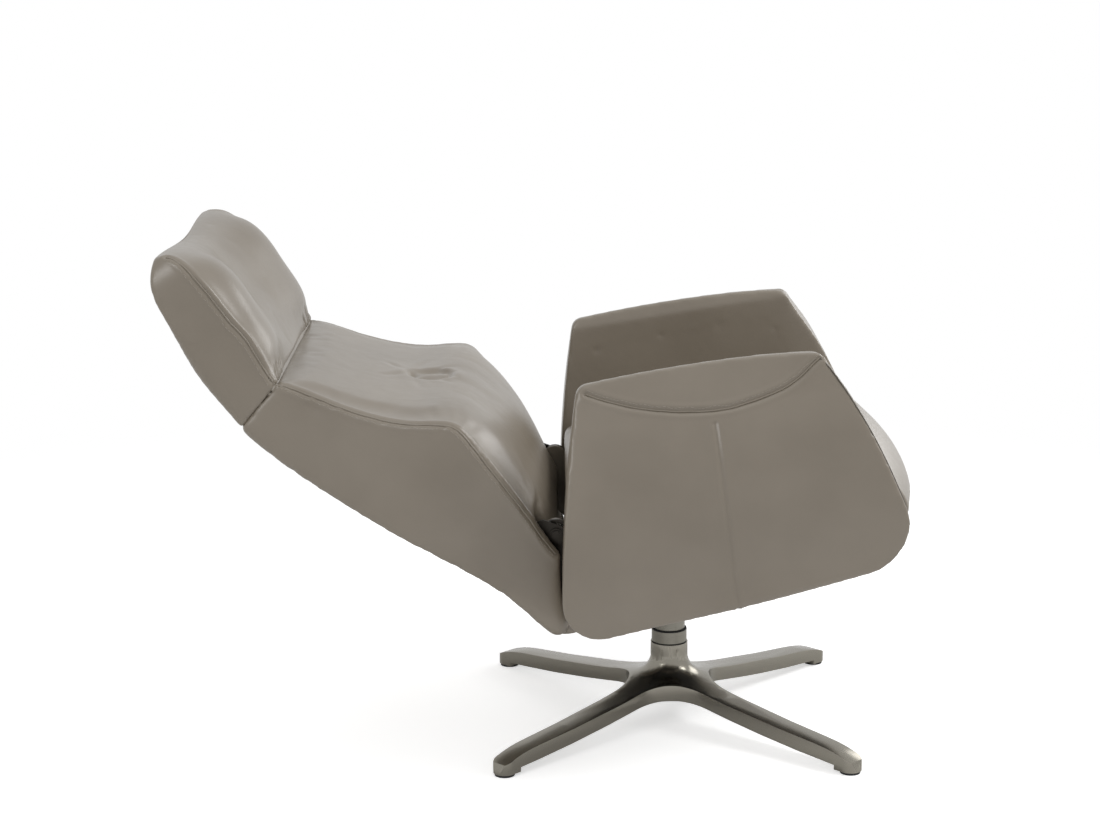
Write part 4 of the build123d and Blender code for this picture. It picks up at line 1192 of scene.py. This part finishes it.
@dataclass
class Seat:
    """The seat cushion with its rolled nose, the band under it and pads inside its hinges."""

    def hinge_pads(self, cad: dict[str, Piece], leather: bpy.types.Material) -> None:
        """Lines the inner faces of the hinge plates with thin leather pads.

        Args:
            cad: The CAD nodes by name.
            leather: Their material.
        """
        # The pins, flattened with the plates, close the bores
        plate = 0.0
        layers = []
        for node in ("seat_hinge_plates", "recline_pins"):
            layer = merged_copy(cad, [node], "hinge_pads")
            points = points_of(layer)
            reach = np.abs(points[:, 1])
            plate = plate or reach.min()
            share = (reach - reach.min()) / (reach.max() - reach.min())
            points[:, 1] = np.sign(points[:, 1]) * (plate - 4.4 * MM + share * 4.2 * MM)
            place_points(layer, points)
            layers.append(layer)
        pads = layers[0]
        select_only(pads)
        layers[1].select_set(True)
        bpy.ops.object.join()
        pads.data.remesh_voxel_size = 1.6 * MM
        bpy.ops.object.voxel_remesh()
        apply_modifier(pads, "SMOOTH", factor=0.5, iterations=3)
        finish_piece(pads, leather, "seat")

    def build(self, cad: dict[str, Piece], leather: bpy.types.Material, thread: bpy.types.Material) -> None:
        """Builds the seat.

        Args:
            cad: The CAD nodes by name.
            leather: Its material.
            thread: The material of its stitches.
        """
        self.hinge_pads(cad, leather)
        unit = Unit("seat_unit", "seat", ["seat_cushion"], SEAT, Filling(skin=6 * MM, rounding=6))
        unit.skin_over(cad, [])
        _, out = SEAT.axes()
        facing = normals_of(unit.piece) @ out
        inner = 1 - smooth_step(np.abs(points_of(unit.piece)[:, 1]), 0.15, 0.235)
        unit.swell(0.3 * smooth_step(facing, 0.2, 0.8) * inner)
        unit.subdivide()
        # The nose is tucked back over the band, with a sewn seam across its front
        unit.raise_at(SEAT.place(352, 0, -8), -7 * MM, (30 * MM, 900 * MM, 18 * MM))
        nose = np.array([SEAT.place(366, across, 18) for across in range(-236, 237, 8)])
        path = lay_on(surface_of(unit.piece), nose, 0)
        unit.press(path, 1.6 * MM, 3.2 * MM, 0.6 * MM)
        stitches(unit, "seat_nose_stitches", path, 6 * MM, thread)
        unit.finish(leather, 0.7)
        band = Unit(
            "seat_band_unit", "seat", ["seat_front_band"], SEAT, Filling(skin=4 * MM, rounding=4)
        )
        band.skin_over(cad, [])
        band.subdivide()
        # The band's front is pulled in behind the arms
        points = points_of(band.piece)
        along, _ = SEAT.axes()
        reach = points @ along
        front = smooth_step(reach, reach.max() - 60 * MM, reach.max())
        place_points(band.piece, points - along * (9 * MM * front)[:, None])
        band.finish(leather, 0.9)


@dataclass
class Arm:
    """An upholstered arm: a sloping facet along the top, a welt under it and a seam down its side."""

    seam_line: Line = field(
        default_factory=lambda: [
            (-92, 271), (-69, 260), (-34, 246), (1, 236), (36, 229), (80, 224), (109, 224),
            (147, 229), (186, 238), (212, 250), (230, 263), (241, 269),
        ]
    )
    bores: Line = field(default_factory=lambda: [(44, 248), (133, 237)])
    front_seam: list[tuple[float, float, float]] = field(
        default_factory=lambda: [
            (406, -298, 634), (416, -306, 620), (427, -316, 602), (446, -324, 567),
            (470, -330, 521), (490, -334, 481), (503, -336, 451), (512, -338, 425), (516, -338, 400),
        ]
    )

    def build(self, cad: dict[str, Piece], leather: bpy.types.Material, thread: bpy.types.Material) -> None:
        """Builds both arms; the far one is a mirrored copy of the near one.

        Args:
            cad: The CAD nodes by name.
            leather: Its material.
            thread: The material of its stitches.
        """
        unit = Unit(
            "right_arm_unit",
            "seat",
            ["right_arm_cover", "right_arm_pad"],
            SEAT,
            Filling(skin=5 * MM, rounding=4),
        )
        unit.skin_over(cad, ["right_arm_board"])
        unit.subdivide()
        # The lower edge hangs a little full, and the inner front corner is pulled round
        unit.raise_at(SEAT.place(160, -330, -66), 7 * MM, (170 * MM, 60 * MM, 30 * MM))
        for up, out in self.bores:
            unit.ease_at(SEAT.place(up, -251.5, out), 15 * MM)
        back_down = np.array([-9 * MM, 0, -3 * MM])
        unit.shift_at(SEAT.place(255, -252, 262), back_down, (60 * MM, 45 * MM, 70 * MM))
        unit.raise_at(SEAT.place(325, -335, -30), -3 * MM, (40 * MM, 60 * MM, 30 * MM))
        surface = surface_of(unit.piece)
        seam = []
        for up, out in self.seam_line:
            start = SEAT.place(up, -450, out)
            hit, _, _, _ = surface.ray_cast(Vector(start), Vector((0, 1, 0)))
            if hit is not None:
                seam.append(np.array(hit))
        path = lay_on(surface, resample(np.array(seam), 4 * MM), 0)
        cord = welt(unit, "right_arm_welt", path, leather)
        row = stitches(unit, "right_arm_stitches", path, 6 * MM, thread)
        # Round the corner and down the front the seam runs along the edge; a thin dark cord there is
        # painted shade of the seam line
        front = np.array([path[-1]] + [np.array(spot) * MM for spot in self.front_seam])
        laid = lay_on(surface_of(unit.piece), resample(front, 5 * MM, 6), 0.2 * MM)
        # The cord's dark colour is painted shade of the seam line
        seam_shade_paint = Coating("painted_seam_shade", "#4d473d", 0.5).build()
        edge = tube("right_arm_seam_shade_cord", [resample(laid, 5 * MM, 14)], 1.1 * MM)
        finish_piece(edge, seam_shade_paint, "seat")
        side_seam = SEAT.line([(81, 222), (80, 150), (76, 40), (73, -58)], -340)
        laid = lay_on(surface_of(unit.piece), resample(side_seam, 5 * MM), 0)
        unit.press(laid, 1.5 * MM, 2.6 * MM, 0.5 * MM)
        for source, name, material in (
            (unit.piece, "left_arm_unit", leather),
            (cord, "left_arm_welt", leather),
            (edge, "left_arm_seam_shade_cord", seam_shade_paint),
            (row, "left_arm_stitches", thread),
        ):
            twin = bpy.data.objects.new(name, source.data.copy())
            bpy.context.scene.collection.objects.link(twin)
            twin.data.transform(Matrix.Scale(-1, 4, (0, 1, 0)))
            twin.data.flip_normals()
            finish_piece(twin, material, "seat")
            if source is unit.piece:
                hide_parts("left_arm_cover", "left_arm_pad")
        unit.finish(leather, 0.9)


@dataclass(frozen=True)
class StarBase:
    """The cast star base, its edges polished round."""

    edge: float = 1.6 * MM

    def build(self, cad: dict[str, Piece], metal: bpy.types.Material) -> None:
        """Builds the base from a bevelled copy of its CAD mesh.

        Args:
            cad: The CAD nodes by name.
            metal: Its finish.
        """
        piece = merged_copy(cad, ["base_casting"], "star_base")
        apply_modifier(piece, "DECIMATE", decimate_type="DISSOLVE", angle_limit=math.radians(1))
        apply_modifier(
            piece,
            "BEVEL",
            width=self.edge,
            segments=3,
            limit_method="ANGLE",
            angle_limit=math.radians(28),
            use_clamp_overlap=True,
        )
        finish_piece(piece, metal, "base")
        select_only(piece)
        bpy.ops.object.shade_smooth_by_angle(angle=math.radians(35))
        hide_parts("base_casting")


FINISHES: dict[str, tuple[object, tuple[str, ...]]] = {
    "column_metal": (
        Metal("brushed_nickel_steel", "#88857c", 0.3, 0.08),
        ("column_sleeve", "column_cover"),
    ),
    "steel": (
        Metal("blackened_steel", "#3b3834", 0.36),
        (
            "glide_screws", "spindle", "spindle_clip", "tilt_springs", "mechanism_bolts",
            "tilt_shaft", "shaft_clips", "seat_springs", "arm_spacers", "arm_bolts",
            "seat_hinge_plates", "recline_pins", "pin_clips", "back_hinge_plates", "back_bolts",
            "back_wires", "headrest_lower_leaves", "headrest_pins", "headrest_upper_leaves",
        ),
    ),
    "frame_paint": (
        Coating("black_powder_coat", "#26262a", 0.5),
        ("mechanism_housing", "seat_frame", "tilt_lugs", "back_frame"),
    ),
    "bearing_plastic": (
        Coating("white_acetal", "#e4e2da", 0.4),
        ("upper_bush", "lower_bush", "thrust_bearing", "tilt_bushes", "hinge_washers"),
    ),
    "glide_plastic": (Coating("black_nylon", "#1d1d1e", 0.55), ("glides",)),
    "seal_rubber": (
        Coating("black_rubber", "#141414", 0.7),
        ("hub_seal", "collar_seal", "tilt_stops"),
    ),
    "board_wood": (Plywood(), ("right_arm_board", "left_arm_board", "headrest_board")),
}


def finish_frame(cad: dict[str, Piece]) -> None:
    """Gives the CAD nodes that stay shown their materials.

    Args:
        cad: The CAD nodes by name.
    """
    for slot, (finish, names) in FINISHES.items():
        material = finish.build()
        for name in names:
            cad[name].data.materials.clear()
            cad[name].data.materials.append(material)


@dataclass(frozen=True)
class Studio:
    """A white photo studio: soft lights, a plain floor and the photograph's camera."""

    eye: tuple[float, float, float] = (0.011, -3.593, 1.289)
    dip: float = 12.53
    roll: float = -0.41
    lens: float = 78.55
    sensor: float = 36.0
    floor_glow: float = 0.52

    def build(self) -> None:
        """Builds the studio."""
        self.world()
        self.floor()
        self.lamp("overhead", (0.2, 0.0, 2.7), (0, 0, 0.3), 2.2, 6)
        self.lamp("right_key", (2.3, -0.4, 2.3), (-0.2, 0, 0.4), 1.3, 38)
        self.lamp("left_fill", (-2.0, -2.4, 2.2), (-0.3, 0, 0.5), 1.4, 25)
        self.lamp("right_rear", (2.2, 2.2, 1.5), (-0.2, 0, 0.5), 1.3, 15)
        self.camera()

    def world(self) -> None:
        """Makes the surroundings: soft pale light, and white where the camera or a gloss looks."""
        world = bpy.data.worlds.new("studio_air")
        bpy.context.scene.world = world
        world.use_nodes = True
        tree = world.node_tree
        soft = tree.nodes["Background"]
        soft.inputs["Color"].default_value = linear("#ffffff")
        soft.inputs["Strength"].default_value = 0.54
        white = add_node(
            tree, "ShaderNodeBackground", values={"Color": linear("#ffffff"), "Strength": 1.0}
        )
        ray = add_node(tree, "ShaderNodeLightPath")
        glossy = add_node(
            tree, "ShaderNodeBackground", values={"Color": linear("#ffffff"), "Strength": 0.8}
        )
        mirrored = add_node(
            tree, "ShaderNodeMixShader", links={"Fac": ray.outputs["Is Glossy Ray"]}
        )
        mix = add_node(
            tree, "ShaderNodeMixShader", links={"Fac": ray.outputs["Is Camera Ray"]}
        )
        tree.links.new(soft.outputs["Background"], mirrored.inputs[1])
        tree.links.new(glossy.outputs["Background"], mirrored.inputs[2])
        tree.links.new(mirrored.outputs["Shader"], mix.inputs[1])
        tree.links.new(white.outputs["Background"], mix.inputs[2])
        tree.links.new(mix.outputs["Shader"], tree.nodes["World Output"].inputs["Surface"])

    def floor(self) -> None:
        """Lays a white paper floor that takes the shadow and runs out into the white air."""
        bpy.ops.mesh.primitive_plane_add(size=12, location=(0, 0, 0))
        floor = bpy.context.view_layer.objects.active
        floor.name = "studio_floor"
        material, shader, place = start_material("white_paper_sweep")
        tree = material.node_tree
        shader.inputs["Base Color"].default_value = linear("#fafafa")
        shader.inputs["Roughness"].default_value = 0.95
        # Lit from below as well, as a translucent sweep is, so that it stays white on camera
        shader.inputs["Emission Color"].default_value = linear("#ffffff")
        seen = add_node(tree, "ShaderNodeLightPath")
        glow = add_node(
            tree,
            "ShaderNodeMath",
            {"operation": "MULTIPLY"},
            {1: self.floor_glow},
            {0: seen.outputs["Is Camera Ray"]},
        )
        tree.links.new(glow.outputs["Value"], shader.inputs["Emission Strength"])
        # The paper runs out between 0.9 and 2.2 m from the chair
        reach = add_node(
            tree, "ShaderNodeVectorMath", {"operation": "LENGTH"}, links={"Vector": place}
        )
        fade = add_node(
            tree,
            "ShaderNodeMapRange",
            {"interpolation_type": "SMOOTHSTEP"},
            {"From Min": 0.9, "From Max": 2.2},
            {"Value": reach.outputs["Value"]},
        )
        clear = add_node(tree, "ShaderNodeBsdfTransparent")
        mix = add_node(tree, "ShaderNodeMixShader", links={"Fac": fade.outputs["Result"]})
        tree.links.new(shader.outputs["BSDF"], mix.inputs[1])
        tree.links.new(clear.outputs["BSDF"], mix.inputs[2])
        tree.links.new(mix.outputs["Shader"], tree.nodes["Material Output"].inputs["Surface"])
        floor.data.materials.append(material)

    def lamp(
        self,
        name: str,
        place: tuple[float, float, float],
        target: tuple[float, float, float],
        size: float,
        power: float,
    ) -> None:
        """Hangs one soft lamp.

        Args:
            name: Its name.
            place: Where it hangs.
            target: What it points at.
            size: Its edge length in metres.
            power: Its power in watts.
        """
        light = bpy.data.lights.new(name, "AREA")
        light.shape = "SQUARE"
        light.size = size
        light.energy = power
        lamp = bpy.data.objects.new(name, light)
        lamp.location = place
        aim = Vector(target) - Vector(place)
        lamp.rotation_euler = aim.to_track_quat("-Z", "Y").to_euler()
        bpy.context.scene.collection.objects.link(lamp)

    def camera(self) -> None:
        """Sets up the camera of the photograph."""
        dip, roll = math.radians(self.dip), math.radians(self.roll)
        ahead = Vector((0, math.cos(dip), -math.sin(dip)))
        right = Vector((1, 0, 0))
        top = Vector((0, math.sin(dip), math.cos(dip)))
        turned_right = right * math.cos(roll) + top * math.sin(roll)
        turned_top = top * math.cos(roll) - right * math.sin(roll)
        turn = Matrix((turned_right, turned_top, -ahead)).transposed()
        data = bpy.data.cameras.new("photo_camera")
        data.sensor_width = self.sensor
        data.lens = self.lens
        camera = bpy.data.objects.new("photo_camera", data)
        camera.matrix_world = Matrix.Translation(self.eye) @ turn.to_4x4()
        bpy.context.scene.collection.objects.link(camera)
        bpy.context.scene.camera = camera


def main() -> None:
    """Builds the whole scene."""
    logging.basicConfig(level=logging.INFO, format="%(message)s")
    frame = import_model()
    bpy.context.scene.view_settings.view_transform = "Standard"
    cad = frame["nodes"]
    leather = Leather().build()
    finish_frame(cad)
    thread = Coating("taupe_polyester_thread", "#8f887d", 0.6).build()
    StarBase().build(cad, Metal("gunmetal_casting", "#928e84", 0.22).build())
    Headrest().build(cad, leather, thread)
    Back().build(cad, leather, thread)
    Neck().build(cad, leather)
    Seat().build(cad, leather, thread)
    Arm().build(cad, leather, thread)
    Studio().build()


if __name__ == "__main__":
    main()
